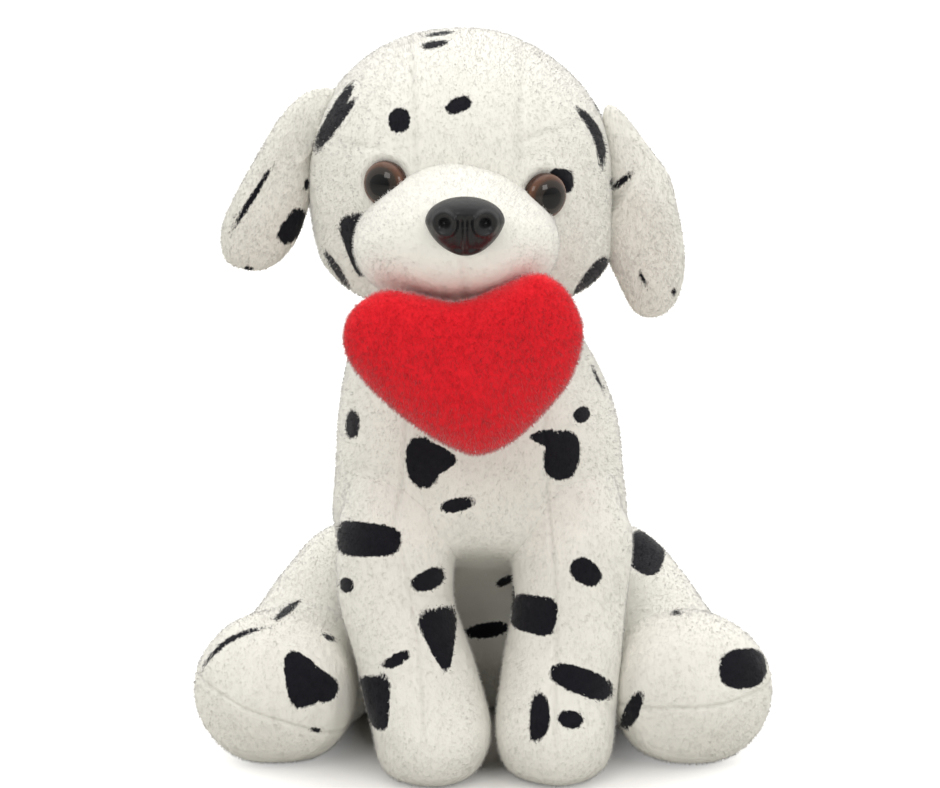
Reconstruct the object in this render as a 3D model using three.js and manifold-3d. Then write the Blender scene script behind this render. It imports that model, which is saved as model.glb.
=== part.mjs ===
// Sitting plush dog that holds a stuffed heart: sewn covers, fibre cores, safety eyes and a safety nose.
// Millimetres, +Z up, the dog faces -Y. The dog's own left side is +X.
// The origin is on the floor, at the middle of the dog's width and depth.

import * as THREE from "three";
import { mergeVertices } from "three/addons/utils/BufferGeometryUtils.js";
import Module from "manifold-3d";

// ---------------------------------------------------------------- driving dimensions
const FABRIC = 1.6;          // plush with its backing, doubled at the seams
const GAP = 0.4;             // air between pieces that touch on the sewn toy
const FILL_GAP = 1.4;        // air between a cover and its fibre core
const JOINT_GAP = 1.3;       // air round a limb where it turns in the torso
const ROUND_SPACE = 14;      // facets round the space that a turning limb needs
const ROUND_INSIDE = 12;     // facets round a hollow or the core in it
const DEPTH_SHIFT = -12;     // moves the toy along Y so that the origin is at mid depth
const ROUND = 18;            // facets round a large stuffed piece
const ROUND_SMALL = 10;      // facets round a tail, a shank or a washer
const ROUND_EYE = 16;        // facets round an eye or the nose

const HEAD = { centre: [-8, 2, 204], radii: [52, 50, 48] };
const MUZZLE = { centre: [-9, -45, 193.8], radii: [32, 36, 20.6] };
const NECK = { pivot: [-4, 2, 160], ball: 18 };
const EYE = {
  radius: 7.7, dome: 4.6, lip: 0.9, stand: 1.2,     // the dome, the lip below it, and its height on the cover
  shank: 1.9, shankLength: 12, washer: 6.5, washerThickness: 1.6, washerDepth: 3.4,
};
const EYES = { right: [-32.3, 208.4], left: [20.6, 204.0] };      // X and Z on the face
const NOSE = {
  centre: [-6.3, -79.5, 203.5], radii: [12.6, 8, 9.4],
  shank: 2.4, shankLength: 18, way: [0, 1, -0.3], washer: 7.5, washerThickness: 1.8, washerDepth: 14,
};
const HEART = { centre: [-6, -74.5, 151], width: 77, height: 62, thickness: 23, roll: 7, lean: 4 };
const HEART_PIVOT = [-6, -64, 172];     // where the heart is sewn to the mouth
const HEART_MOUTH = { up: 8, length: 30, radius: 4 };   // opening in the heart's back
const EAR_THICKNESS = 13;
const HEART_SWING = [0, 10, 20];    // degrees that the heart's point swings forwards
const TAIL_WAG = [-25, 0, 25];      // degrees that the tail wags to each side

const MOUTH = 9;             // half width of the opening that a limb is stuffed through
const SHOULDER = 20.4;       // radius of the round top of a front leg
const HAUNCH = { centre: [47, 38, 33], radii: [25.8, 25.8, 33.2] };     // the round top of a hind leg
const TAIL_ROOT = 8.2;       // radius of the tail where it leaves the torso
const TORSO_SQUARENESS = 2.3;
const REACH = 300;           // past the whole toy, for the blocks that cut it

// Each station of a stuffed piece is the middle of a ring and the ring's two half sizes.
// Upright pieces: x, y, z, half width along X, half depth along Y.
const TORSO = [
  [0, 50, -4, 0, 0], [0, 50, -3, 22, 18], [0, 50, 0.5, 33, 27], [0, 49, 8, 42, 36], [0, 47, 22, 46, 42],
  [0, 43.5, 40, 47, 39], [-0.5, 35, 57, 49, 36.5], [-0.8, 25, 68, 50.6, 39.5], [-1, 14, 79, 51.4, 45],
  [-1.4, 8, 95, 50, 44],
  [-2, 4, 115, 48, 42], [-4, 2, 134, 43.2, 39], [-6, 1, 148, 36.5, 34], [-6.5, 1, 158, 29, 28],
  [-6.5, 1, 160, 0, 0],
];
const TORSO_TOP = 154.5;     // the neck opening's rim, under the lowest that the head swings
const FRONT_PIVOT = { right: [-29.2, -20, 78], left: [29.2, -20, 78] };
const FRONT_LEG = {
  right: [
    [-29.2, -20, 98.4, 0, 0], [-29.2, -20, 96.2, 9, 9], [-29.2, -20, 90.5, 16, 16],
    [-29.2, -20, 78, SHOULDER, SHOULDER],
    [-28.4, -25, 58, 20.8, 20], [-23.8, -32, 36, 21.6, 20.5], [-18.6, -38, 18, 21.5, 22.5],
    [-18.4, -40, 6, 19, 21.5], [-18.4, -40, -2, 12, 13], [-18.4, -40, -3, 0, 0],
  ],
  left: [
    [29.2, -20, 98.4, 0, 0], [29.2, -20, 96.2, 9, 9], [29.2, -20, 90.5, 16, 16],
    [29.2, -20, 78, SHOULDER, SHOULDER],
    [29.0, -25, 58, 20.2, 20], [26.6, -32, 36, 20.2, 20.5], [24.1, -38, 18, 20.4, 22.5],
    [24.3, -40, 6, 19, 21.5], [24.3, -40, -2, 12, 13], [24.3, -40, -3, 0, 0],
  ],
};
// The space that the shaft of a front leg needs under its shoulder, from 5 degrees back to 25 degrees
// forwards.
const FRONT_SPACE = [
  [29.2, -20, 90, 0, 0], [29.2, -20.5, 78, 20.6, 21], [29, -27, 58, 21, 26], [27, -31, 40, 22, 29],
  [27, -31, 38, 0, 0],
];
// A hind leg lies along the floor: distance out, y, z, half width across, half height. Same both sides.
const HIND_LEG = [
  [36, 60.5, 33, 0, 0], [37, 58.5, 33, 10, 12], [39, 54, 33, 18, 23], [42.5, 46.5, 33, 23.5, 30],
  [47, 36, 33, 25, 32.6], [54, 20, 30, 25, 29.8], [61, 2, 27, 24, 26.8], [68, -14, 25.3, 24.2, 25],
  [73.2, -29, 26, 26.4, 25.7], [75.5, -40, 26, 22.5, 21], [76.7, -46.5, 26, 12, 11], [77, -48.5, 26, 0, 0],
];
const TAIL_PIVOT = [0, 87, 26];
const TAIL = [
  [0, 79, 26, 0, 0], [0, 80.5, 26, 5, 5], [0, 86, 26.5, 8, 8], [0, 95, 30, 8, 8], [0, 102, 39, 7.5, 7.5],
  [0, 104.5, 51, 7, 7], [0, 104, 63, 6.5, 6.5], [0, 102.5, 69, 4, 4], [0, 102, 71, 0, 0],
];
const PELLET_BAG = { centre: [0, 52, 11], radii: [16, 24, 13] };   // lies on the seat, flat below

// ---------------------------------------------------------------- solids
const wasm = await Module();
wasm.setup();

// A geometry with its shared vertices merged, as a solid.
function solidOf(geometry) {
  const bare = geometry.clone();
  bare.deleteAttribute("normal");
  bare.deleteAttribute("uv");
  const merged = mergeVertices(bare, 1e-4);
  return new wasm.Manifold(new wasm.Mesh({
    numProp: 3,
    vertProperties: new Float32Array(merged.attributes.position.array),
    triVerts: new Uint32Array(merged.index.array),
  }));
}

function geometryOf(solid) {
  const mesh = solid.getMesh();
  const geometry = new THREE.BufferGeometry();
  geometry.setAttribute("position", new THREE.BufferAttribute(new Float32Array(mesh.vertProperties), 3));
  geometry.setIndex(new THREE.BufferAttribute(new Uint32Array(mesh.triVerts), 1));
  return geometry;
}

// An ellipsoid that is `inset` smaller all round.
function ellipsoid({ centre, radii }, inset = 0, around = inset > 0 ? ROUND_INSIDE : ROUND) {
  const geometry = new THREE.SphereGeometry(1, around, Math.round(around * 0.55));
  geometry.rotateX(Math.PI / 2);
  geometry.scale(radii[0] - inset, radii[1] - inset, radii[2] - inset);
  geometry.translate(...centre);
  return solidOf(geometry);
}

// A closed piece through a list of stations. Rings are set across the line of their middles, a squareness
// above 2 gives fuller corners, and `inset` moves the whole skin inwards. `lie` says how the rings are held:
// upright pieces have level rings, floor pieces run along the floor, and back pieces run in the plane x = 0.
function stuffed(stations, { inset = 0, around, squareness = 2, lie = "upright" } = {}) {
  const count = stations.length;
  const facets = around ?? (inset > 0 ? ROUND_INSIDE : ROUND);
  const rings = stations.map(([x, y, z, wide, deep]) => ({ middle: new THREE.Vector3(x, y, z), wide, deep }));
  const along = (j) => {
    const before = rings[Math.max(0, j - 1)].middle;
    const after = rings[Math.min(count - 1, j + 1)].middle;
    return after.clone().sub(before).normalize();
  };
  const profile = rings.map((ring, j) => new THREE.Vector2(1, j));
  const geometry = new THREE.LatheGeometry(profile, facets);
  const position = geometry.attributes.position;
  for (let i = 0; i < position.count; i += 1) {
    const j = i % count;
    const angle = (Math.floor(i / count) / facets) * Math.PI * 2;
    const ring = rings[j];
    const end = j === 0 || j === count - 1;
    const tangent = along(j);
    const across = new THREE.Vector3(1, 0, 0);
    if (lie === "floor") across.set(-tangent.y, tangent.x, 0).normalize();
    const over = new THREE.Vector3(0, 1, 0);
    if (lie !== "upright") over.crossVectors(tangent, across);
    const power = 2 / squareness;
    const cos = Math.sign(Math.cos(angle)) * Math.abs(Math.cos(angle)) ** power;
    const sin = Math.sign(Math.sin(angle)) * Math.abs(Math.sin(angle)) ** power;
    const wide = end ? 0 : Math.max(0.4, ring.wide - inset);
    const deep = end ? 0 : Math.max(0.4, ring.deep - inset);
    const point = ring.middle.clone().addScaledVector(across, cos * wide).addScaledVector(over, sin * deep);
    if (j === 0) point.addScaledVector(tangent, inset);
    if (j === count - 1) point.addScaledVector(tangent, -inset);
    position.setXYZ(i, point.x, point.y, point.z);
  }
  return outward(geometry);
}

// A closed geometry as a solid whose faces point outwards, whichever way its rings were wound.
function outward(geometry) {
  const position = geometry.attributes.position;
  const index = geometry.index;
  const corners = [0, 1, 2].map(() => new THREE.Vector3());
  let volume = 0;
  for (let i = 0; i < index.count; i += 3) {
    corners.forEach((corner, k) => corner.fromBufferAttribute(position, index.getX(i + k)));
    volume += corners[0].dot(corners[1].clone().cross(corners[2]));
  }
  if (volume < 0) {
    for (let i = 0; i < index.count; i += 3) {
      const first = index.getX(i);
      index.setX(i, index.getX(i + 1));
      index.setX(i + 1, first);
    }
  }
  return solidOf(geometry);
}

function box(low, high) {
  const size = high.map((value, k) => value - low[k]);
  const geometry = new THREE.BoxGeometry(...size);
  geometry.translate(...low.map((value, k) => value + size[k] / 2));
  return solidOf(geometry);
}
const BELOW_FLOOR = box([-REACH, -REACH, -REACH], [REACH, REACH, 0]);

// The solid turned about an axis through a pivot, for every angle, joined: the space that it sweeps.
function swept(solid, pivot, axis, angles) {
  const there = new THREE.Matrix4().makeTranslation(...pivot);
  const back = new THREE.Matrix4().makeTranslation(...pivot.map((value) => -value));
  let space = null;
  for (const angle of angles) {
    const radians = THREE.MathUtils.degToRad(angle);
    const turn = new THREE.Matrix4().makeRotationAxis(new THREE.Vector3(...axis), radians);
    const move = there.clone().multiply(turn).multiply(back);
    const turned = solid.transform(move.elements);
    space = space ? space.add(turned) : turned;
  }
  return space;
}

// A cylinder from one point along a direction.
function rod(from, direction, length, radius, around = ROUND_SMALL) {
  const geometry = new THREE.CylinderGeometry(radius, radius, length, around);
  geometry.translate(0, length / 2, 0);
  const way = new THREE.Vector3(...direction).normalize();
  geometry.applyQuaternion(new THREE.Quaternion().setFromUnitVectors(new THREE.Vector3(0, 1, 0), way));
  geometry.translate(...from);
  return solidOf(geometry);
}

// ---------------------------------------------------------------- the toy
const toy = new THREE.Group();
const finishes = {
  plush: { color: 0xe9e5da, roughness: 0.95, metalness: 0 },
  heartPlush: { color: 0xd6202b, roughness: 0.95, metalness: 0 },
  fibre: { color: 0xf6f6f4, roughness: 1, metalness: 0 },
  pelletCloth: { color: 0xd9d6cc, roughness: 0.9, metalness: 0 },
  eyePlastic: { color: 0x3a2418, roughness: 0.12, metalness: 0 },
  nosePlastic: { color: 0x141416, roughness: 0.2, metalness: 0 },
  washerPlastic: { color: 0xe6e6e2, roughness: 0.5, metalness: 0 },
};

function place(name, solid, finish) {
  const material = new THREE.MeshStandardMaterial(finishes[finish]);
  const mesh = new THREE.Mesh(geometryOf(solid), material);
  mesh.name = name;
  mesh.position.y = DEPTH_SHIFT;
  toy.add(mesh);
}

// Head and neck. The neck fill is a ball about the neck's pivot, so the head can nod and turn round it.
const ball = (centre, radius) => ({ centre, radii: [radius, radius, radius] });
const neckBall = (extra) => ellipsoid(ball(NECK.pivot, NECK.ball), -extra);
const headOuter = (inset) => ellipsoid(HEAD, inset);
const muzzleOuter = (inset) => ellipsoid(MUZZLE, inset);

// An eye or nose stands on its cover along the surface normal, with its shank through the cover.
function ellipsoidNormal({ centre, radii }, point) {
  return new THREE.Vector3(...point.map((value, k) => (value - centre[k]) / radii[k] ** 2)).normalize();
}

function eyeParts(side) {
  const [x, z] = EYES[side];
  const flatX = (x - HEAD.centre[0]) / HEAD.radii[0];
  const flatZ = (z - HEAD.centre[2]) / HEAD.radii[2];
  const y = HEAD.centre[1] - HEAD.radii[1] * Math.sqrt(1 - flatX ** 2 - flatZ ** 2);
  const normal = ellipsoidNormal(HEAD, [x, y, z]);
  const inward = normal.clone().negate();
  const seat = new THREE.Vector3(x, y, z).addScaledVector(normal, EYE.stand);
  const dome = [new THREE.Vector2(0, -EYE.lip)];
  for (let step = 0; step <= 5; step += 1) {
    const angle = (step / 5) * Math.PI / 2;
    dome.push(new THREE.Vector2(EYE.radius * Math.cos(angle), EYE.dome * Math.sin(angle)));
  }
  dome.splice(1, 0, new THREE.Vector2(EYE.radius - EYE.lip, -EYE.lip));
  dome[dome.length - 1].x = 0;
  const domeGeometry = new THREE.LatheGeometry(dome, ROUND_EYE);
  const stand = new THREE.Quaternion().setFromUnitVectors(new THREE.Vector3(0, 1, 0), normal);
  domeGeometry.applyQuaternion(stand);
  domeGeometry.translate(...seat.toArray());
  const shank = rod(seat.toArray(), inward.toArray(), EYE.shankLength, EYE.shank);
  const shankHole = rod(seat.toArray(), inward.toArray(), EYE.shankLength + GAP, EYE.shank + GAP);
  const washerSeat = seat.clone().addScaledVector(inward, EYE.stand + FABRIC + EYE.washerDepth);
  const washerSpace = rod(washerSeat.clone().addScaledVector(inward, -GAP).toArray(), inward.toArray(),
    EYE.washerThickness + 2 * GAP, EYE.washer + GAP);
  const washer = rod(washerSeat.toArray(), inward.toArray(), EYE.washerThickness, EYE.washer)
    .subtract(shankHole);
  return { body: outward(domeGeometry).add(shank), shankHole, washer, washerSpace };
}
const eyes = { left: eyeParts("left"), right: eyeParts("right") };

const noseBody = ellipsoid(NOSE, 0, ROUND_EYE).subtract(muzzleOuter(-GAP));
const noseShank = rod(NOSE.centre, NOSE.way, NOSE.shankLength, NOSE.shank);
const noseHole = rod(NOSE.centre, NOSE.way, NOSE.shankLength + GAP, NOSE.shank + GAP);
const alongNose = (depth) => NOSE.centre.map((value, k) => value + NOSE.way[k] * depth);
const noseWasher = rod(alongNose(NOSE.washerDepth), NOSE.way, NOSE.washerThickness, NOSE.washer)
  .subtract(noseHole);
const noseWasherSpace = rod(alongNose(NOSE.washerDepth - GAP), NOSE.way, NOSE.washerThickness + 2 * GAP,
  NOSE.washer + GAP);

const eyeHoles = eyes.left.shankHole.add(eyes.right.shankHole);
const eyeWasherSpaces = eyes.left.washerSpace.add(eyes.right.washerSpace);
place("head_cover", headOuter(0).subtract(headOuter(FABRIC)).subtract(neckBall(GAP))
  .subtract(eyeHoles), "plush");
place("head_stuffing", headOuter(FABRIC + FILL_GAP).subtract(neckBall(GAP)).subtract(eyeHoles)
  .subtract(eyeWasherSpaces), "fibre");
place("muzzle_cover", muzzleOuter(0).subtract(muzzleOuter(FABRIC)).subtract(headOuter(-GAP))
  .subtract(noseHole), "plush");
place("muzzle_stuffing", muzzleOuter(FABRIC + FILL_GAP).subtract(headOuter(-GAP)).subtract(noseHole)
  .subtract(noseWasherSpace), "fibre");
place("nose", noseBody.add(noseShank), "nosePlastic");
place("nose_washer", noseWasher, "washerPlastic");
for (const side of ["left", "right"]) {
  place(`eye_${side}`, eyes[side].body.subtract(muzzleOuter(-GAP)), "eyePlastic");
  place(`eye_washer_${side}`, eyes[side].washer, "washerPlastic");
}
place("neck_stuffing", neckBall(0), "fibre");

// Ears: a lobe outline in the plane of the ear, thick in the middle and thin at its sewn edge.
const EAR = {
  right: [[-48, 231], [-58, 230.5], [-68, 222], [-78.5, 205.5], [-84.5, 194.5], [-88.5, 185], [-88.5, 176.5],
    [-84, 171], [-78, 169], [-71, 172], [-65, 180], [-61, 193], [-59, 208], [-51.5, 220]],
  left: [[44, 227], [50, 219.5], [56.5, 210.5], [62, 201.5], [64, 191], [66, 178], [65.6, 166], [62, 156],
    [56, 153], [51, 157], [47, 169], [45, 180], [44.4, 192], [44.6, 205], [43.4, 216]],
};
const EAR_TURN = { right: 10, left: -8 };

function pillow(outline, thickness, inset) {
  const points = outline.map(([x, z]) => new THREE.Vector3(x, z, 0));
  const curve = new THREE.CatmullRomCurve3(points, true, "centripetal");
  const rim = curve.getPoints(20).slice(0, -1);
  const middle = rim.reduce((sum, point) => sum.add(point), new THREE.Vector3()).divideScalar(rim.length);
  const layers = 7;
  const profile = Array.from({ length: layers }, (_, j) => new THREE.Vector2(1, j));
  const geometry = new THREE.LatheGeometry(profile, rim.length);
  const position = geometry.attributes.position;
  for (let i = 0; i < position.count; i += 1) {
    const j = i % layers;
    const angle = (j / (layers - 1)) * Math.PI;
    const edge = rim[Math.floor(i / layers) % rim.length];
    const reach = edge.clone().sub(middle);
    const length = reach.length();
    const share = j === 0 || j === layers - 1 ? 0 : Math.sin(angle) ** 0.7 * (length - inset) / length;
    const lift = -Math.cos(angle) * (thickness / 2 - inset);
    position.setXYZ(i, middle.x + reach.x * share, lift, middle.y + reach.y * share);
  }
  return outward(geometry);
}

function ear(side) {
  const about = EAR[side][0];
  const turn = (solid) => swept(solid, [about[0], 0, about[1]], [0, 0, 1], [EAR_TURN[side]]);
  const outer = turn(pillow(EAR[side], EAR_THICKNESS, 0));
  const space = headOuter(-GAP);
  const hollow = turn(pillow(EAR[side], EAR_THICKNESS, FABRIC));
  const core = turn(pillow(EAR[side], EAR_THICKNESS, FABRIC + FILL_GAP));
  const opening = { centre: [about[0], 0, about[1] - MOUTH / 3], radii: [MOUTH, MOUTH / 2, MOUTH] };
  const mouth = ellipsoid(opening, 0, ROUND_SMALL);
  place(`ear_${side}_cover`, outer.subtract(hollow).subtract(mouth).subtract(space), "plush");
  place(`ear_${side}_stuffing`, core.subtract(space), "fibre");
}
ear("left");
ear("right");

// Heart: a pillow on a heart outline, sewn to the mouth along the top of its back.
function heart() {
  const outline = [];
  for (let step = 0; step < 22; step += 1) {
    const t = (step / 22) * Math.PI * 2;
    const x = 16 * Math.sin(t) ** 3;
    const z = 13 * Math.cos(t) - 5 * Math.cos(2 * t) - 2 * Math.cos(3 * t) - Math.cos(4 * t);
    outline.push([x * HEART.width / 32, (z + 2.5) * HEART.height / 29]);
  }
  const set = (solid) => {
    const turn = new THREE.Matrix4().makeTranslation(...HEART.centre)
      .multiply(new THREE.Matrix4().makeRotationX(THREE.MathUtils.degToRad(HEART.lean)))
      .multiply(new THREE.Matrix4().makeRotationY(THREE.MathUtils.degToRad(-HEART.roll)));
    return solid.transform(turn.elements);
  };
  const shape = (inset) => set(pillow(outline, HEART.thickness, inset));
  const muzzleSpace = swept(muzzleOuter(-GAP), HEART_PIVOT, [1, 0, 0], HEART_SWING);
  const [x, y, z] = HEART.centre;
  const mouth = rod([x, y, z + HEART_MOUTH.up], [0, 1, 0], HEART_MOUTH.length, HEART_MOUTH.radius);
  place("heart_cover", shape(0).subtract(shape(FABRIC)).subtract(mouth).subtract(muzzleSpace), "heartPlush");
  place("heart_stuffing", shape(FABRIC + FILL_GAP).subtract(muzzleSpace), "fibre");
}
heart();

// Legs and tail: each cover is open where it is sewn into the torso, and its core fills it.
const mirrored = (stations, sign) => stations.map(([x, ...rest]) => [x * sign, ...rest]);
const haunchSpace = ellipsoid(HAUNCH, -JOINT_GAP, ROUND_SPACE);
const limbs = [];
for (const side of ["left", "right"]) {
  const sign = side === "left" ? 1 : -1;
  limbs.push({
    name: `front_leg_${side}`,
    shape: (inset) => stuffed(FRONT_LEG[side], { inset }).subtract(BELOW_FLOOR),
    core: (inset) => stuffed(FRONT_LEG[side], { inset }).subtract(BELOW_FLOOR.translate([0, 0, inset])),
    mouth: ellipsoid(ball([FRONT_PIVOT[side][0], -16, 92], MOUTH), 0, ROUND_SMALL),
    space: ellipsoid(ball(FRONT_PIVOT[side], SHOULDER), -JOINT_GAP, ROUND_SPACE)
      .add(stuffed(mirrored(FRONT_SPACE, sign), { inset: -JOINT_GAP, around: ROUND_SPACE })),
  });
  limbs.push({
    name: `hind_leg_${side}`,
    shape: (inset) => stuffed(mirrored(HIND_LEG, sign), { inset, lie: "floor" }),
    core: (inset) => stuffed(mirrored(HIND_LEG, sign), { inset, lie: "floor" }),
    mouth: ellipsoid(ball([sign * 26, 42, 38], MOUTH), 0, ROUND_SMALL),
    space: (sign > 0 ? haunchSpace : haunchSpace.mirror([1, 0, 0]))
      .add(stuffed(mirrored(HIND_LEG, sign), { inset: -JOINT_GAP, around: ROUND_SPACE, lie: "floor" })),
  });
}
const tailSpace = stuffed(TAIL, { inset: -JOINT_GAP, around: ROUND_SMALL, lie: "back" });
limbs.push({
  name: "tail",
  shape: (inset) => stuffed(TAIL, { inset, around: ROUND_SMALL, lie: "back" }),
  core: (inset) => stuffed(TAIL, { inset, lie: "back", around: ROUND_SMALL }),
  mouth: ellipsoid(ball([0, 78, 26], MOUTH / 2), 0, ROUND_SMALL),
  space: ellipsoid(ball(TAIL_PIVOT, TAIL_ROOT), -JOINT_GAP, ROUND_SMALL)
    .add(swept(tailSpace, TAIL_PIVOT, [0, 1, 0], TAIL_WAG)),
});

let limbSpace = neckBall(GAP);
for (const limb of limbs) {
  place(`${limb.name}_cover`, limb.shape(0).subtract(limb.core(FABRIC)).subtract(limb.mouth), "plush");
  place(`${limb.name}_stuffing`, limb.core(FABRIC + FILL_GAP), "fibre");
  limbSpace = limbSpace.add(limb.space);
}

// Torso, cut back where the head and the limbs turn.
const headSpace = box([-REACH, -REACH, TORSO_TOP], [REACH, REACH, REACH]);
const torsoShape = (inset) => stuffed(TORSO, { inset, squareness: TORSO_SQUARENESS });
const torsoFloor = BELOW_FLOOR.translate([0, 0, FABRIC]);
const torsoHollow = torsoShape(FABRIC).subtract(torsoFloor);
const pelletBag = ellipsoid(PELLET_BAG, 0, ROUND).subtract(torsoFloor.translate([0, 0, GAP]));
const torsoCore = torsoShape(FABRIC + FILL_GAP).subtract(torsoFloor.translate([0, 0, GAP]));
place("torso_cover", torsoShape(0).subtract(BELOW_FLOOR).subtract(torsoHollow).subtract(limbSpace)
  .subtract(headSpace), "plush");
place("torso_stuffing", torsoCore.subtract(limbSpace).subtract(headSpace)
  .subtract(ellipsoid(PELLET_BAG, -GAP, ROUND)), "fibre");
place("seat_pellet_bag", pelletBag, "pelletCloth");

export default toy;
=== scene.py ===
import bpy
import math
import numpy as np
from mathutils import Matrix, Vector


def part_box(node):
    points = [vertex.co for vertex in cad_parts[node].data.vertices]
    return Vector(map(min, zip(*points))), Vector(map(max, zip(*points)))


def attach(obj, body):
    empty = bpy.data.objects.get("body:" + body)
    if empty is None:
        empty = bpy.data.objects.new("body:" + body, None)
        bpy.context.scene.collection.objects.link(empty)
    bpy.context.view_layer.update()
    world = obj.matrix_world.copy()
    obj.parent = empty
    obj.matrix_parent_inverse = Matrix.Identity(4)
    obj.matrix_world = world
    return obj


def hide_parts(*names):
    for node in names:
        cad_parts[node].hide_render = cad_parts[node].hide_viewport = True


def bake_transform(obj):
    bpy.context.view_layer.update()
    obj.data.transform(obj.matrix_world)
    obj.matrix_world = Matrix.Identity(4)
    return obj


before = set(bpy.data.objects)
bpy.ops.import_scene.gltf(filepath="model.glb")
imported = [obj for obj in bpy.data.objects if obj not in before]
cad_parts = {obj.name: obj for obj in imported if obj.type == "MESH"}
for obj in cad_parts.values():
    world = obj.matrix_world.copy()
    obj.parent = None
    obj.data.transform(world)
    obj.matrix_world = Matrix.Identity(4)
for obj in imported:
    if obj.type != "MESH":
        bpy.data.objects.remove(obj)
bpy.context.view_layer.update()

# ------------------------------------------------------------------ studio
# A plain pale table in soft light, and a long lens a little above the toy's eye level.
# The table and the lights are no part of the toy.
VIEW_TILT = math.radians(15)
VIEW_DISTANCE = 1.15
VIEW_MIDDLE = Vector((-0.0047, -0.012, 0.125))
BACK = Vector((0, -math.cos(VIEW_TILT), math.sin(VIEW_TILT)))

bpy.context.scene.view_settings.view_transform = "Standard"
camera_data = bpy.data.cameras.new("camera")
camera_data.lens = 126.8
camera_data.sensor_width = 36
camera = bpy.data.objects.new("camera", camera_data)
camera.location = VIEW_MIDDLE + BACK * VIEW_DISTANCE
camera.rotation_euler = (math.pi / 2 - VIEW_TILT, 0, 0)
bpy.context.scene.collection.objects.link(camera)
bpy.context.scene.camera = camera


def area_light(name, place, size, power, colour=(1, 1, 1)):
    """A square soft box at a place, facing the toy's middle."""
    data = bpy.data.lights.new(name, "AREA")
    data.shape = "SQUARE"
    data.size = size
    data.energy = power
    data.color = colour
    lamp = bpy.data.objects.new(name, data)
    lamp.location = place
    lamp.rotation_euler = (VIEW_MIDDLE - Vector(place)).to_track_quat("-Z", "Y").to_euler()
    bpy.context.scene.collection.objects.link(lamp)


area_light("light_front_left", (-0.7, -1.3, 1.1), 0.6, 4.4, (1, 0.985, 0.955))
area_light("light_front_right", (0.9, -1.2, 0.9), 0.5, 3.8, (1, 0.985, 0.955))
area_light("light_top", (0.0, 0.1, 1.4), 1.2, 3.5, (1, 0.99, 0.965))

# The room is brightest above and behind the toy.
world = bpy.data.worlds.new("studio_white")
world.use_nodes = True
world_nodes, world_links = world.node_tree.nodes, world.node_tree.links
world_nodes["Background"].inputs["Color"].default_value = (1, 0.995, 0.98, 1)
world_way = world_nodes.new("ShaderNodeTexCoord")
world_lean = world_nodes.new("ShaderNodeVectorMath")
world_lean.operation = "DOT_PRODUCT"
world_lean.inputs[1].default_value = (0, 0.6, 0.8)
world_level = world_nodes.new("ShaderNodeMapRange")
world_level.inputs["From Min"].default_value = -0.9
world_level.inputs["From Max"].default_value = 1.0
world_level.inputs["To Min"].default_value = 0.05
world_level.inputs["To Max"].default_value = 1.45
world_links.new(world_way.outputs["Generated"], world_lean.inputs[0])
world_links.new(world_lean.outputs["Value"], world_level.inputs["Value"])
world_links.new(world_level.outputs["Result"], world_nodes["Background"].inputs["Strength"])
bpy.context.scene.world = world

floor_mesh = bpy.data.meshes.new("table")
half = 6.0
floor_mesh.from_pydata([(-half, -half, 0), (half, -half, 0), (half, half, 0), (-half, half, 0)], [], [(0, 1, 2, 3)])
floor = bpy.data.objects.new("table", floor_mesh)
bpy.context.scene.collection.objects.link(floor)
floor_material = bpy.data.materials.new("table_white")
floor_material.use_nodes = True
floor_shader = floor_material.node_tree.nodes["Principled BSDF"]
floor_shader.inputs["Base Color"].default_value = (0.62, 0.61, 0.58, 1)
floor_shader.inputs["Roughness"].default_value = 0.9
floor_place = floor_material.node_tree.nodes.new("ShaderNodeTexCoord")
floor_reach = floor_material.node_tree.nodes.new("ShaderNodeVectorMath")
floor_reach.operation = "LENGTH"
floor_glow = floor_material.node_tree.nodes.new("ShaderNodeMapRange")
floor_glow.inputs["From Min"].default_value = 0.045
floor_glow.inputs["From Max"].default_value = 0.115
floor_glow.inputs["To Max"].default_value = 0.8
floor_links = floor_material.node_tree.links
floor_links.new(floor_place.outputs["Object"], floor_reach.inputs[0])
floor_links.new(floor_reach.outputs["Value"], floor_glow.inputs["Value"])
floor_seen = floor_material.node_tree.nodes.new("ShaderNodeLightPath")
floor_links.new(floor_glow.outputs["Result"], floor_shader.inputs["Emission Color"])
floor_links.new(floor_seen.outputs["Is Camera Ray"], floor_shader.inputs["Emission Strength"])
floor_mesh.materials.append(floor_material)

# ------------------------------------------------------------------ head
# The head cover is sewn from a forehead gusset and two sides in short-pile plush, then stuffed hard
# with fibre. The eyes and the muzzle pull shallow hollows into it, and the pile leans down the face.
MM = 0.001
rng = np.random.default_rng(7)
head_low, head_high = (np.array(corner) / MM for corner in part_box("head_cover"))
HEAD_HALF = (head_high - head_low) / 2
HEAD_MID = np.array([
    (head_low[0] + head_high[0]) / 2,
    (head_low[1] + head_high[1]) / 2,
    head_high[2] - 0.923 * HEAD_HALF[0],
])


def smoothstep(low, high, values):
    """0 below low, 1 above high, and 3t^2 - 2t^3 between."""
    t = np.clip((values - low) / (high - low), 0, 1)
    return t * t * (3 - 2 * t)


def grid_normals(points):
    """Outward normals of a grid of rings: the cross product of the way along and the way around,
    turned so that they point away from the middle line."""
    along = np.gradient(points, axis=0)
    around = np.roll(points, -1, axis=1) - np.roll(points, 1, axis=1)
    normals = np.cross(along, around)
    normals[0] = normals[1].mean(axis=0)
    normals[-1] = normals[-2].mean(axis=0)
    lengths = np.linalg.norm(normals, axis=2, keepdims=True)
    normals = normals / np.maximum(lengths, 1e-9)
    outward = np.sum(normals * (points - points.mean(axis=1, keepdims=True)), axis=2).mean()
    return normals if outward > 0 else -normals


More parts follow.
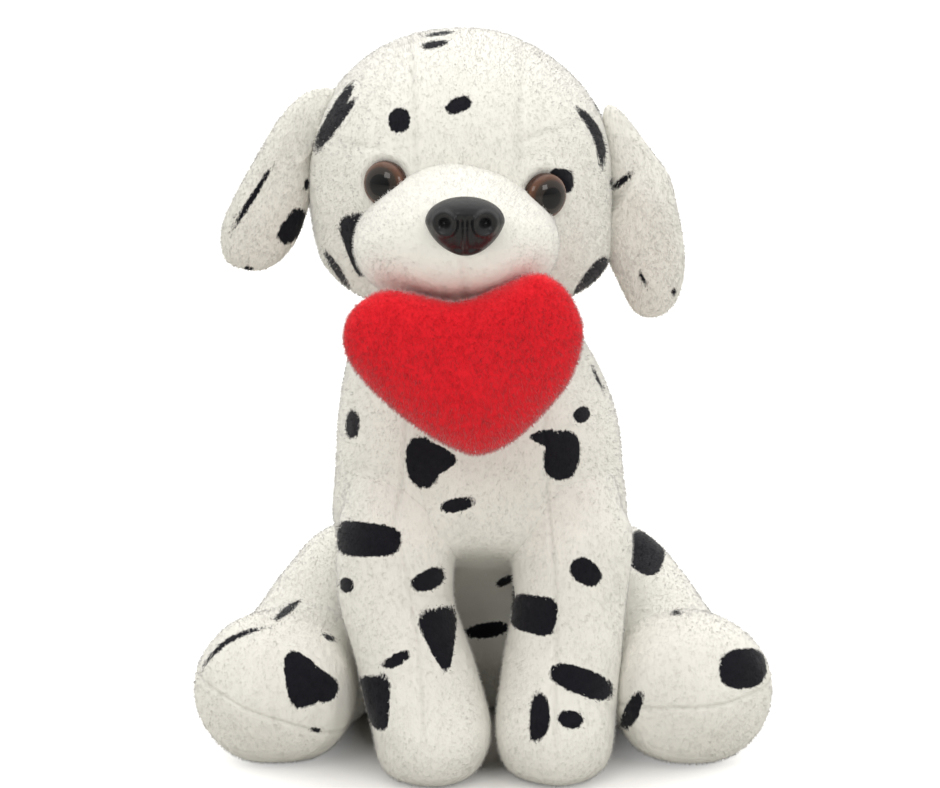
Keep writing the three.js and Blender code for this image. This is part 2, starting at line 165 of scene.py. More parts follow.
def lumps(points, size, seed):
    """Soft unevenness of hand stuffing: a sum of seven sine waves of about the given size in
    random directions, between -1 and 1."""
    draw = np.random.default_rng(seed)
    waves = draw.normal(size=(7, 3))
    waves /= np.linalg.norm(waves, axis=1, keepdims=True)
    total = np.zeros(points.shape[:-1])
    for wave, phase, stretch in zip(waves, draw.uniform(0, 6.28, 7), draw.uniform(0.7, 1.4, 7)):
        total += np.sin(points @ wave * (6.28 / size / stretch) + phase)
    return total / 4


FRONT = (np.array([1.0, 0, 0]), np.array([0, 0.259, 0.966]), np.array([0, -0.966, 0.259]))
LEFT = (np.array([0, 1.0, 0]), np.array([0, 0, 1.0]), np.array([1.0, 0, 0]))
RIGHT = (np.array([0, -1.0, 0]), np.array([0, 0, 1.0]), np.array([-1.0, 0, 0]))
REAR = (np.array([-1.0, 0, 0]), np.array([0, 0, 1.0]), np.array([0, 1.0, 0]))
TOP = (np.array([1.0, 0, 0]), np.array([0, 1.0, 0]), np.array([0, 0, 1.0]))
SPOT_ORIGIN = np.array([0.0, -12.0, 125.0])


def spot_distance(points, normals, spots):
    """How far each point is outside the nearest black spot, in millimetres, and less than 0 inside.
    A spot is (side, right, up, half length, half width, turn, squareness, taper, bend): an oval or
    squared patch drawn on the toy as seen from that side. Taper narrows its right end, and bend
    curves it. It stops where the surface turns away from that side."""
    nearest = np.full(points.shape[:-1], 30.0)
    local = points - SPOT_ORIGIN
    for (right, up, out), u, v, long, wide, turn, square, taper, bend in spots:
        a, b = local @ right - u, local @ up - v
        cos, sin = math.cos(math.radians(turn)), math.sin(math.radians(turn))
        s, t = a * cos + b * sin, b * cos - a * sin
        t = t - bend * s * s
        narrow = wide * (1 - taper * np.clip(s / long, -1.2, 1.2))
        size = (np.abs(s / long) ** square + np.abs(t / narrow) ** square) ** (1 / square)
        inside = (size - 1) * min(long, wide)
        away = ((0.06 if out is FRONT[2] else 0.3) - normals @ out) * 12
        nearest = np.minimum(nearest, np.maximum(inside, away))
    return nearest


def sewn(name, points, **attributes):
    """A closed skin from a grid of rings in millimetres: the first and last ring are one point each,
    and each ring closes on itself. Each attribute gives one value for every point of the grid."""
    rows, around = points.shape[:2]
    inner = np.arange((rows - 2) * around).reshape(rows - 2, around) + 1
    beside = np.roll(inner, -1, axis=1)
    quads = np.stack([inner[:-1], beside[:-1], beside[1:], inner[1:]], axis=-1).reshape(-1, 4)
    last = (rows - 2) * around + 1
    first_fan = np.stack([np.zeros(around, int), beside[0], inner[0]], axis=-1)
    last_fan = np.stack([np.full(around, last), inner[-1], beside[-1]], axis=-1)
    faces = first_fan.tolist() + quads.tolist() + last_fan.tolist()
    flat = np.concatenate([points[:1, 0], points[1:-1].reshape(-1, 3), points[-1:, 0]])
    mesh = bpy.data.meshes.new(name)
    mesh.from_pydata((flat * MM).tolist(), [], faces)
    ahead = flat - flat.mean(axis=0)
    if np.sum(np.cross(ahead[quads[:, 0]], ahead[quads[:, 1]]) * ahead[quads[:, 2]]) < 0:
        mesh.flip_normals()
    for key, values in attributes.items():
        column = np.concatenate([values[:1, 0], values[1:-1].ravel(), values[-1:, 0]]).astype(np.float32)
        mesh.attributes.new(key, "FLOAT", "POINT").data.foreach_set("value", column)
    mesh.shade_smooth()
    piece = bpy.data.objects.new(name, mesh)
    bpy.context.scene.collection.objects.link(piece)
    return piece


def pile(name, points, normals, spots, count, length, lean, cover=1.0, thickness=0.13, grain=0.12):
    """Short cut fibres on a skin: thin closed three-sided spikes, placed at random by area, rooted
    just under the skin, that lean along it. Each is lit as the skin is, tipped its own way by grain.
    Cover is the share of fibres left at each point. Material 1 is for fibres rooted on a spot."""
    rows, around = points.shape[:2]
    corner = points[:-1], np.roll(points, -1, axis=1)[:-1], points[1:]
    area = np.linalg.norm(np.cross(corner[1] - corner[0], corner[2] - corner[0]), axis=2)
    area = (area * (cover if np.isscalar(cover) else cover[:-1])).ravel()
    cell = rng.choice(area.size, size=count, p=area / area.sum())
    row, column = cell // around, cell % around
    u, v = rng.random(count), rng.random(count)

    def between(grid):
        nearer = (1 - u).reshape(-1, *[1] * (grid.ndim - 2))
        further = u.reshape(-1, *[1] * (grid.ndim - 2))
        near_side = grid[row, column] * nearer + grid[row, (column + 1) % around] * further
        far_side = grid[row + 1, column] * nearer + grid[row + 1, (column + 1) % around] * further
        share = v.reshape(-1, *[1] * (grid.ndim - 2))
        return near_side * (1 - share) + far_side * share

    root, out, on_spot = between(points), between(normals), between(spots)
    out /= np.linalg.norm(out, axis=1, keepdims=True)
    nap = np.array(lean, float) + rng.normal(scale=0.35, size=(count, 3))
    nap -= out * np.sum(nap * out, axis=1, keepdims=True)
    side = np.cross(out, rng.normal(size=(count, 3)))
    side /= np.linalg.norm(side, axis=1, keepdims=True)
    other = np.cross(out, side)
    tall = length * rng.uniform(0.6, 1.15, size=(count, 1))
    base = root - out * 0.25
    ring = [base + thickness * (side * math.cos(k) + other * math.sin(k)) for k in (0, 2.094, 4.189)]
    tip = root + out * tall * 0.85 + nap * tall * 0.6
    flat = np.stack([*ring, tip], axis=1).reshape(-1, 3)
    flat[:, 2] = np.maximum(flat[:, 2], 0)
    start = np.arange(count)[:, None] * 4
    faces = np.concatenate([start + np.array(face) for face in ((0, 2, 1), (0, 1, 3), (1, 2, 3), (2, 0, 3))])
    black = (on_spot + rng.normal(scale=0.35, size=count) < 0).astype(np.int32)
    mesh = bpy.data.meshes.new(name)
    mesh.from_pydata((flat * MM).tolist(), [], faces.tolist())
    mesh.polygons.foreach_set("material_index", np.tile(black, 4))
    mesh.shade_smooth()
    lit = out + grain * nap
    lit /= np.linalg.norm(lit, axis=1, keepdims=True)
    mesh.normals_split_custom_set_from_vertices(np.repeat(lit, 4, axis=0).tolist())
    piece = bpy.data.objects.new(name, mesh)
    bpy.context.scene.collection.objects.link(piece)
    return piece


def link(tree, source, target):
    tree.links.new(source, target)


def spotted_plush_group():
    """Colour and normal of spotted plush. The colour changes from ivory to black where the distance to
    a spot, roughened by tufts, passes 0. Both are mottled where the pile parts, seams are a shade
    darker, and the normal carries the tufts."""
    group = bpy.data.node_groups.new("spotted_plush", "ShaderNodeTree")
    face = group.interface
    for name, default in (("Pile Colour", (1, 1, 1, 1)), ("Spot Colour", (0, 0, 0, 1))):
        face.new_socket(name, in_out="INPUT", socket_type="NodeSocketColor").default_value = default
    for name, default in (("Spot Distance", 9.0), ("Seam", 0.0), ("Tuft Height", 0.5)):
        face.new_socket(name, in_out="INPUT", socket_type="NodeSocketFloat").default_value = default
    face.new_socket("Colour", in_out="OUTPUT", socket_type="NodeSocketColor")
    face.new_socket("Roughness", in_out="OUTPUT", socket_type="NodeSocketFloat")
    face.new_socket("Normal", in_out="OUTPUT", socket_type="NodeSocketVector")
    nodes = group.nodes
    given = nodes.new("NodeGroupInput")
    result = nodes.new("NodeGroupOutput")
    place = nodes.new("ShaderNodeTexCoord")

    def noise(scale, detail, stretch=(1, 1, 1)):
        mapping = nodes.new("ShaderNodeMapping")
        mapping.inputs["Scale"].default_value = stretch
        texture = nodes.new("ShaderNodeTexNoise")
        texture.inputs["Scale"].default_value = scale
        texture.inputs["Detail"].default_value = detail
        link(group, place.outputs["Object"], mapping.inputs["Vector"])
        link(group, mapping.outputs["Vector"], texture.inputs["Vector"])
        return texture.outputs["Fac"]

    def maths(operation, a, b):
        node = nodes.new("ShaderNodeMath")
        node.operation = operation
        for socket, value in zip(node.inputs, (a, b)):
            if isinstance(value, (int, float)):
                socket.default_value = value
            else:
                link(group, value, socket)
        return node.outputs[0]

    tufts = noise(950, 3, (1, 1, 0.55))
    clumps = noise(230, 2)
    patches = noise(45, 2)
    ragged = maths("MULTIPLY_ADD", tufts, 1.6)
    ragged.node.inputs[2].default_value = -0.8
    edge = maths("ADD", given.outputs["Spot Distance"], ragged)
    on_spot = nodes.new("ShaderNodeMapRange")
    on_spot.inputs["From Min"].default_value = 0.25
    on_spot.inputs["From Max"].default_value = -0.25
    link(group, edge, on_spot.inputs["Value"])
    colour = nodes.new("ShaderNodeMix")
    colour.data_type = "RGBA"
    link(group, on_spot.outputs["Result"], colour.inputs["Factor"])
    link(group, given.outputs["Pile Colour"], colour.inputs["A"])
    link(group, given.outputs["Spot Colour"], colour.inputs["B"])
    shade = maths("MULTIPLY_ADD", clumps, 0.06)
    shade.node.inputs[2].default_value = 0.97
    broad = maths("MULTIPLY_ADD", patches, 0.06)
    broad.node.inputs[2].default_value = 0.97
    both = maths("MULTIPLY", shade, broad)
    seam = maths("MULTIPLY_ADD", given.outputs["Seam"], -0.07)
    seam.node.inputs[2].default_value = 1.0
    shaded = nodes.new("ShaderNodeVectorMath")
    shaded.operation = "SCALE"
    link(group, colour.outputs["Result"], shaded.inputs[0])
    link(group, maths("MULTIPLY", both, seam), shaded.inputs["Scale"])
    rough = maths("MULTIPLY_ADD", clumps, 0.12)
    rough.node.inputs[2].default_value = 0.82
    height = maths("ADD", tufts, maths("MULTIPLY", clumps, 1.6))
    bump = nodes.new("ShaderNodeBump")
    bump.inputs["Distance"].default_value = 0.00035
    link(group, given.outputs["Tuft Height"], bump.inputs["Strength"])
    link(group, height, bump.inputs["Height"])
    link(group, shaded.outputs["Vector"], result.inputs["Colour"])
    link(group, rough, result.inputs["Roughness"])
    link(group, bump.outputs["Normal"], result.inputs["Normal"])
    return group


SPOTTED_PLUSH = spotted_plush_group()
IVORY = (0.84, 0.825, 0.765, 1)
BLACK = (0.008, 0.008, 0.012, 1)
RED = (0.80, 0.013, 0.024, 1)


def plush_skin(name, colour, spot_colour=BLACK, tuft=0.3, sheen=0.2):
    """Plush backing and pile as one surface, with the spots painted by the skin's own attributes."""
    material = bpy.data.materials.new(name)
    material.use_nodes = True
    tree = material.node_tree
    shader = tree.nodes["Principled BSDF"]
    cloth = tree.nodes.new("ShaderNodeGroup")
    cloth.node_tree = SPOTTED_PLUSH
    cloth.inputs["Pile Colour"].default_value = colour
    cloth.inputs["Spot Colour"].default_value = spot_colour
    cloth.inputs["Tuft Height"].default_value = tuft
    for key in ("spot", "seam"):
        value = tree.nodes.new("ShaderNodeAttribute")
        value.attribute_name = key
        link(tree, value.outputs["Fac"], cloth.inputs["Spot Distance" if key == "spot" else "Seam"])
    link(tree, cloth.outputs["Colour"], shader.inputs["Base Color"])
    link(tree, cloth.outputs["Roughness"], shader.inputs["Roughness"])
    link(tree, cloth.outputs["Normal"], shader.inputs["Normal"])
    shader.inputs["Specular IOR Level"].default_value = 0.15
    shader.inputs["Sheen Weight"].default_value = sheen
    shader.inputs["Sheen Roughness"].default_value = 0.45
    return material


def fibre_material(name, colour, sheen=0.3):
    material = bpy.data.materials.new(name)
    material.use_nodes = True
    shader = material.node_tree.nodes["Principled BSDF"]
    shader.inputs["Base Color"].default_value = colour
    shader.inputs["Roughness"].default_value = 0.85
    shader.inputs["Specular IOR Level"].default_value = 0.15
    shader.inputs["Sheen Weight"].default_value = sheen
    return material


plush = plush_skin("spotted_plush", IVORY)
ivory_fibre = fibre_material("ivory_fibre", (0.87, 0.855, 0.80, 1))
black_fibre = fibre_material("black_fibre", (0.009, 0.009, 0.014, 1), 0.08)
PILE_SHARE = 1.0


def dress(skin, fur, body, node, blend=None):
    """Puts a skin and its pile on a body, in place of the plain cover."""
    for piece in (skin, fur):
        if blend is None:
            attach(piece, body)
        else:
            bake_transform(piece)
    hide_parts(node)


def with_materials(piece, *materials):
    for material in materials:
        piece.data.materials.append(material)
    return piece


EYE_AT = {"left": (27.6, -0.6), "right": (-24.1, 3.7)}    # right of and above the head's middle
EYE_RADIUS = 7.7


def eye_seat(side):
    """The middle of an eye on the head and the way it faces, from the head's own oval."""
    x, z = EYE_AT[side]
    y = -HEAD_HALF[1] * math.sqrt(1 - (x / HEAD_HALF[0]) ** 2 - (z / HEAD_HALF[0] / 0.923) ** 2)
    out = np.array([x / HEAD_HALF[0] ** 2, y / HEAD_HALF[1] ** 2, z / (0.923 * HEAD_HALF[0]) ** 2])
    return HEAD_MID + np.array([x, y, z]), out / np.linalg.norm(out)


def head_grid(rows=200, around=320):
    """An upright oval in polar angles from the crown to the neck, widened towards the jowls and more
    so on its left, with the gusset seams, the eye hollows and the hand stuffing pressed into it."""
    polar = np.linspace(0, math.pi, rows)[:, None]
    turn = np.linspace(0, 2 * math.pi, around, endpoint=False)[None, :]
    jowl = smoothstep(1.5, 2.6, polar)
    fuller = 1 + (0.165 + 0.06 * np.cos(turn)) * jowl
    across = HEAD_HALF[0] * np.sin(polar) ** (1 - 0.38 * smoothstep(1.57, 2.3, polar)) * fuller
    deep = HEAD_HALF[1] * 1.01 * np.sin(polar) * (1 + 0.05 * jowl)
    points = np.stack([
        across * np.cos(turn),
        deep * np.sin(turn),
        0.923 * HEAD_HALF[0] * np.cos(polar) + 0 * turn,
    ], axis=-1) + HEAD_MID
    normals = grid_normals(points)
    points = points + normals * (lumps(points, 46, 3) * 0.55)[..., None]
    local = points - HEAD_MID
    seam, bare = np.zeros(points.shape[:2]), np.zeros(points.shape[:2])
    for start, lean in ((-17.5, -0.06), (21.5, 0.05)):
        line = start + lean * local[:, :, 1] + (start * -0.35) * smoothstep(10, 50, local[:, :, 1])
        above = smoothstep(-2, 8, local[:, :, 2] - 4) + smoothstep(5, 20, local[:, :, 1])
        seam = np.maximum(seam, np.exp(-((local[:, :, 0] - line) / 1.1) ** 2) * np.clip(above, 0, 1))
    for side, slope in ((-1, 0.0), (1, 0.16)):
        dart = np.exp(-((local[:, :, 2] - 15 - slope * local[:, :, 0]) / 1.0) ** 2)
        reach = smoothstep(17, 22, side * local[:, :, 0]) * (1 - smoothstep(36, 44, side * local[:, :, 0]))
        seam = np.maximum(seam, 0.8 * dart * reach * (local[:, :, 1] < 0))
    points = points - normals * (seam * 0.4)[..., None]
    for side in ("left", "right"):
        seat, out = eye_seat(side)
        away = points - seat
        flat = np.linalg.norm(away - (away @ out)[..., None] * out, axis=-1)
        near = np.exp(-(np.linalg.norm(away, axis=-1) / 16) ** 4)
        dish = -2.4 * np.exp(-(flat / 7.2) ** 4) + 0.9 * np.exp(-((flat - 10.4) / 2.8) ** 2)
        points = points + out * (dish * near)[..., None]
        bare = np.maximum(bare, np.exp(-(np.linalg.norm(away, axis=-1) / 8.6) ** 12))
    return points, seam, 1 - bare


HEAD_SPOTS = [
    (FRONT, -15.0, 121.4, 4.6, 1.0, 8, 2.2, 0, 0), (FRONT, -16.4, 116.8, 4.4, 1.5, 12, 2.4, 0.2, 0),
    (FRONT, -8.6, 94.8, 4.6, 2.6, 25, 2.3, -0.1, 0), (FRONT, -28.0, 90.0, 3.6, 4.2, 0, 2.4, 0, 0),
    (FRONT, -50.2, 93.2, 12.8, 2.5, 61, 2.5, 0.2, 0), (FRONT, -49.3, 91.0, 9.6, 2.0, 48, 2.5, 0.3, 0),
    (FRONT, 37.8, 87.0, 10.5, 2.0, -66, 2.6, 0, -0.024),
    (FRONT, 40.5, 95.5, 4.2, 1.0, -50, 2.2, 0, 0), (FRONT, 25.5, 70.5, 4.2, 4.0, 0, 3, 0, 0),
    (FRONT, -42.0, 49.6, 10.2, 4.6, -84, 3.2, 0.55, 0), (FRONT, -49.8, 42.2, 7.3, 1.3, -57, 2.4, 0, 0),
    (FRONT, 36.9, 38.0, 9.9, 3.8, 55, 2.5, 0, 0), (FRONT, 46.0, 73.0, 4.0, 2.0, 40, 2.4, 0, 0),
    (RIGHT, -22, 84, 9, 6, 35, 2.4, 0.2, 0), (RIGHT, -34, 62, 7, 5, -20, 2.4, 0, 0), (RIGHT, -14, 50, 6, 8, 20, 2.6, 0, 0),
    (LEFT, 26, 90, 9, 6, -30, 2.5, 0.2, 0), (LEFT, 36, 66, 7, 5, 10, 2.4, 0, 0), (LEFT, 16, 48, 8, 5, 45, 2.4, 0.2, 0),
    (REAR, -18, 102, 10, 6, 20, 2.5, 0.2, 0), (REAR, 14, 88, 9, 7, -25, 2.4, 0, 0), (REAR, -14, 66, 7, 8, 0, 2.6, 0, 0),
    (REAR, 22, 60, 6, 4, 30, 2.4, 0, 0), (TOP, 4, 34, 7, 5, 20, 2.4, 0, 0), (TOP, -24, 26, 6, 4, 70, 2.4, 0.2, 0),
]
head_points, head_seam, head_cover = head_grid()
head_normals = grid_normals(head_points)
head_spots = spot_distance(head_points, head_normals, HEAD_SPOTS)
head_skin = with_materials(sewn("head_skin", head_points, spot=head_spots, seam=head_seam), plush)
head_fur = pile("head_pile", head_points, head_normals, head_spots, int(49000 * PILE_SHARE), 1.0, (0, -0.1, -0.8), head_cover)
with_materials(head_fur, ivory_fibre, black_fibre)
dress(head_skin, head_fur, "head", "head_cover")

# ------------------------------------------------------------------ muzzle
# The muzzle is a stuffed oval of plain ivory plush sewn over the front of the face. Its edge sinks a
# little into the face, and its pile runs back from the nose.
def box_of(node):
    """Middle and half size of a part's box, in millimetres."""
    low, high = (np.array(corner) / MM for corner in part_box(node))
    return (low + high) / 2, (high - low) / 2


MUZZLE_MID, MUZZLE_HALF = box_of("muzzle_cover")
muzzle_front = MUZZLE_MID[1] - MUZZLE_HALF[1]
MUZZLE_DEPTH = 36.0


def muzzle_grid(rows=120, around=260):
    """An egg in polar angles from the tip backwards, narrower above its middle than below, with a
    shallow fold under the nose."""
    polar = np.linspace(0, math.pi, rows)[:, None]
    turn = np.linspace(0, 2 * math.pi, around, endpoint=False)[None, :]
    cos, sin = np.cos(turn), np.sin(turn)
    over, under = smoothstep(-0.5, 0.5, sin), smoothstep(0.1, -0.8, sin)
    power = 0.98 + 0.06 * over
    reach = np.sin(polar) ** 0.95
    height = reach * np.sign(sin) * np.abs(sin) ** power
    points = np.stack([
        MUZZLE_MID[0] + 1.03 * MUZZLE_HALF[0] * reach * np.sign(cos) * np.abs(cos) ** power * (1 - 0.27 * height),
        muzzle_front + MUZZLE_DEPTH * (1 - np.cos(polar)) + 0 * turn,
        MUZZLE_MID[2] + MUZZLE_HALF[2] * (1.04 + 0.14 * under) * height,
    ], axis=-1)
    points = points + grid_normals(points) * (lumps(points, 26, 11) * 0.45)[..., None]
    fold = np.exp(-((points[:, :, 0] - MUZZLE_MID[0] - 2.5) / 1.6) ** 2)
    fold = fold * (1 - smoothstep(MUZZLE_MID[2] - 8, MUZZLE_MID[2], points[:, :, 2])) * (np.cos(polar) > 0)
    points[:, :, 1] += 0.8 * fold
    return points


muzzle_points = muzzle_grid()
muzzle_normals = grid_normals(muzzle_points)
plain = np.full(muzzle_points.shape[:2], 30.0)
muzzle_skin = sewn("muzzle_skin", muzzle_points, spot=plain, seam=plain * 0)
with_materials(muzzle_skin, plush)
muzzle_cover = np.where(muzzle_points[:, :, 1] > muzzle_front + 5, 1.0, 0.25)
muzzle_fur = pile("muzzle_pile", muzzle_points, muzzle_normals, plain, int(12000 * PILE_SHARE), 1.1, (0, 1.0, -0.3), muzzle_cover)
with_materials(muzzle_fur, ivory_fibre, black_fibre)
dress(muzzle_skin, muzzle_fur, "head", "muzzle_cover")

# ------------------------------------------------------------------ nose
# A moulded safety nose of glossy black plastic: a rounded shield, wider above, with two nostrils in
# raised rims and a ridge below them. Its shank goes through the muzzle to a washer.
NOSE_MID, NOSE_HALF = box_of("nose")
nose_front = NOSE_MID[1] - NOSE_HALF[1]
NOSE_THICK = 9.0


def nose_grid(rows=130, around=260):
    """Rings from the front pole to the back: each ring is a shield outline, and the depth follows the
    cosine of the polar angle. Nostrils are rounded pits inside raised rings."""
    polar = np.linspace(0, math.pi, rows)[:, None]
    turn = np.linspace(0, 2 * math.pi, around, endpoint=False)[None, :]
    cos, sin = np.cos(turn), np.sin(turn)
    up = smoothstep(-0.3, 0.3, sin)
    reach = np.sin(polar) ** 0.8
    x = 12.7 * reach * np.sign(cos) * np.abs(cos) ** (0.95 + 0.05 * up)
    z = (11.0 - 2.4 * up) * reach * np.sign(sin) * np.abs(sin) ** (0.86 + 0.06 * up) - 1.2
    x = x * (1 - 0.026 * np.clip(-z - 1, 0, 12))
    y = NOSE_THICK * (1 - np.cos(polar)) - 1.6 * np.clip(z / 9, -1, 1)
    front = smoothstep(0.2, 0.6, np.cos(polar))
    for side in (-1, 1):
        away = np.hypot(x - side * 6.5, z * 0.95)
        y = y + front * (3.0 * np.exp(-(away / 1.7) ** 2) - 0.7 * np.exp(-((away - 3.5) / 0.8) ** 2))
    below = front * smoothstep(3.5, 0.0, z) * smoothstep(-11.5, -8.5, z)
    wide = 2.9 - 0.17 * np.clip(z, -9, 2)
    y = y + below * (1.7 * np.exp(-(x / wide) ** 4) - 1.4 * np.exp(-(x / 0.9) ** 2))
    return np.stack([x + NOSE_MID[0], y + nose_front, z + NOSE_MID[2]], axis=-1)


def glossy_plastic(name, colour, roughness=0.16, grain=0.0):
    """Moulded plastic with a fine satin grain."""
    material = bpy.data.materials.new(name)
    material.use_nodes = True
    tree = material.node_tree
    shader = tree.nodes["Principled BSDF"]
    shader.inputs["Coat Weight"].default_value = 0.15
    shader.inputs["Coat Roughness"].default_value = 0.2
    shader.inputs["Specular IOR Level"].default_value = 0.3
    place = tree.nodes.new("ShaderNodeTexCoord")
    texture = tree.nodes.new("ShaderNodeTexNoise")
    texture.inputs["Scale"].default_value = 700
    texture.inputs["Detail"].default_value = 2
    link(tree, place.outputs["Object"], texture.inputs["Vector"])
    ramp = tree.nodes.new("ShaderNodeMapRange")
    ramp.inputs["To Min"].default_value = roughness
    ramp.inputs["To Max"].default_value = roughness + 0.14
    link(tree, texture.outputs["Fac"], ramp.inputs["Value"])
    link(tree, ramp.outputs["Result"], shader.inputs["Roughness"])
    bump = tree.nodes.new("ShaderNodeBump")
    bump.inputs["Distance"].default_value = 0.0002
    bump.inputs["Strength"].default_value = grain
    link(tree, texture.outputs["Fac"], bump.inputs["Height"])
    link(tree, bump.outputs["Normal"], shader.inputs["Normal"])
    shader.inputs["Base Color"].default_value = colour
    return material


nose_piece = with_materials(sewn("nose_shield", nose_grid()), glossy_plastic("nose_black", (0.008, 0.008, 0.009, 1), 0.3, 0.5))
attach(nose_piece, "head")
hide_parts("nose")

# ------------------------------------------------------------------ eyes
# Moulded safety eyes: a clear dome over a black pupil, a dark brown iris and a lighter brown rim.
# Each is pushed into its own hollow in the face and held by a washer behind the cover.
EYE_DOME = 4.6


def eye_grid(side, rows=60, around=120):
    """A dome on a flat disc with a rolled rim, turned about the way the eye faces."""
    share = np.linspace(0, 1, rows)[:, None]
    turn = np.linspace(0, 2 * math.pi, around, endpoint=False)[None, :]
    front = np.clip(share / 0.72, 0, 1)
    radius = EYE_RADIUS * np.where(share < 0.72, np.sin(front * math.pi / 2), np.cos(np.clip((share - 0.72) / 0.28, 0, 1) * math.pi / 2) ** 0.4)
    height = EYE_DOME * np.cos(front * math.pi / 2) - 2.2 * np.clip((share - 0.72) / 0.1, 0, 1)
    seat, out = eye_seat(side)
    across = np.cross([0, 0, 1.0], out)
    across /= np.linalg.norm(across)
    over = np.cross(out, across)
    ring = np.cos(turn)[..., None] * across + np.sin(turn)[..., None] * over
    middle = seat + out * 0.9
    points = middle + radius[..., None] * ring + (height + 0 * turn)[..., None] * out
    return points, radius + 0 * turn


def eye_plastic():
    """Pupil, iris and rim as bands of the distance from the eye's middle, under a clear coat."""
    material = bpy.data.materials.new("eye_brown")
    material.use_nodes = True
    tree = material.node_tree
    shader = tree.nodes["Principled BSDF"]
    shader.inputs["Roughness"].default_value = 0.08
    shader.inputs["Specular IOR Level"].default_value = 0.2
    shader.inputs["Coat Weight"].default_value = 0.3
    shader.inputs["Coat Roughness"].default_value = 0.02
    value = tree.nodes.new("ShaderNodeAttribute")
    value.attribute_name = "radius"
    share = tree.nodes.new("ShaderNodeMath")
    share.operation = "DIVIDE"
    share.inputs[1].default_value = EYE_RADIUS
    link(tree, value.outputs["Fac"], share.inputs[0])
    ramp = tree.nodes.new("ShaderNodeValToRGB")
    stops = (
        (0.0, (0.002, 0.002, 0.002, 1)), (0.44, (0.002, 0.002, 0.002, 1)), (0.50, (0.030, 0.024, 0.020, 1)),
        (0.72, (0.040, 0.030, 0.024, 1)), (0.80, (0.085, 0.040, 0.024, 1)), (0.93, (0.14, 0.062, 0.036, 1)),
        (0.985, (0.05, 0.02, 0.012, 1)),
    )
    for _ in range(len(stops) - 2):
        ramp.color_ramp.elements.new(0.5)
    for element, (place, colour) in zip(ramp.color_ramp.elements, stops):
        element.position = place
        element.color = colour
    link(tree, share.outputs[0], ramp.inputs["Fac"])
    link(tree, ramp.outputs["Color"], shader.inputs["Base Color"])
    return material


eye_brown = eye_plastic()
for side in ("left", "right"):
    eye_points, eye_radius = eye_grid(side)
    eye_piece = with_materials(sewn(f"eye_dome_{side}", eye_points, radius=eye_radius), eye_brown)
    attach(eye_piece, "head")
    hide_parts(f"eye_{side}")

# ------------------------------------------------------------------ ears
# Each ear is two lobes of plush sewn edge to edge with a thin layer of fibre between, turned out and
# sewn into the head seam. It hangs down from its root, a little twisted.
def closed_curve(outline, around):
    """Distance from the middle to a closed outline in each of a number of directions. The outline's
    points give angle and distance, which run between them on a periodic Catmull-Rom curve."""
    points = np.array(outline, float)
    angle = np.unwrap(np.arctan2(points[:, 1], points[:, 0]))
    if angle[-1] < angle[0]:
        points, angle = points[::-1], angle[::-1]
    angle = np.unwrap(np.arctan2(points[:, 1], points[:, 0]))
    fine = np.linspace(0, 1, 40, endpoint=False)[:, None]
    before, start = np.roll(points, 1, axis=0), points
    end, after = np.roll(points, -1, axis=0), np.roll(points, -2, axis=0)
    a, b, c, d = (p[:, None, :] for p in (before, start, end, after))
    f = fine[None]
    curve = b + 0.5 * f * ((c - a) + f * (2 * a - 5 * b + 4 * c - d + f * (3 * (b - c) + d - a)))
    curve = curve.reshape(-1, 2)
    bearing = np.unwrap(np.arctan2(curve[:, 1], curve[:, 0]))
    reach = np.hypot(curve[:, 0], curve[:, 1])
    turn = np.linspace(0, 2 * math.pi, around, endpoint=False)
    order = np.argsort(bearing % (2 * math.pi))
    return turn, np.interp(turn, (bearing % (2 * math.pi))[order], reach[order], period=2 * math.pi)


def pillow_grid(outline, thick, rows=110, around=300, edge=0.5, seam_depth=0.7):
    """Two stuffed faces that meet at a sewn edge. Rings shrink from the edge to each face's middle, and
    the thickness follows a root of one minus the square of the way out. The edge seam is a groove.
    X and Z lie in the pillow and Y goes through it, with the front at -Y."""
    turn, reach = closed_curve(outline, around)
    polar = np.linspace(0, math.pi, rows)[:, None]
    out = np.sin(polar) ** 0.85
    crown = np.maximum(1 - out ** 2.4, 0) ** edge * np.sign(np.cos(polar))
    y = -crown * thick / 2 + 0 * turn[None, :]
    x, z = out * (reach * np.cos(turn))[None, :], out * (reach * np.sin(turn))[None, :]
    seam = np.exp(-(np.cos(polar) / 0.045) ** 2) + 0 * turn[None, :]
    shrink = 1 - seam_depth * seam / reach[None, :]
    return np.stack([x * shrink, y, z * shrink], axis=-1), seam


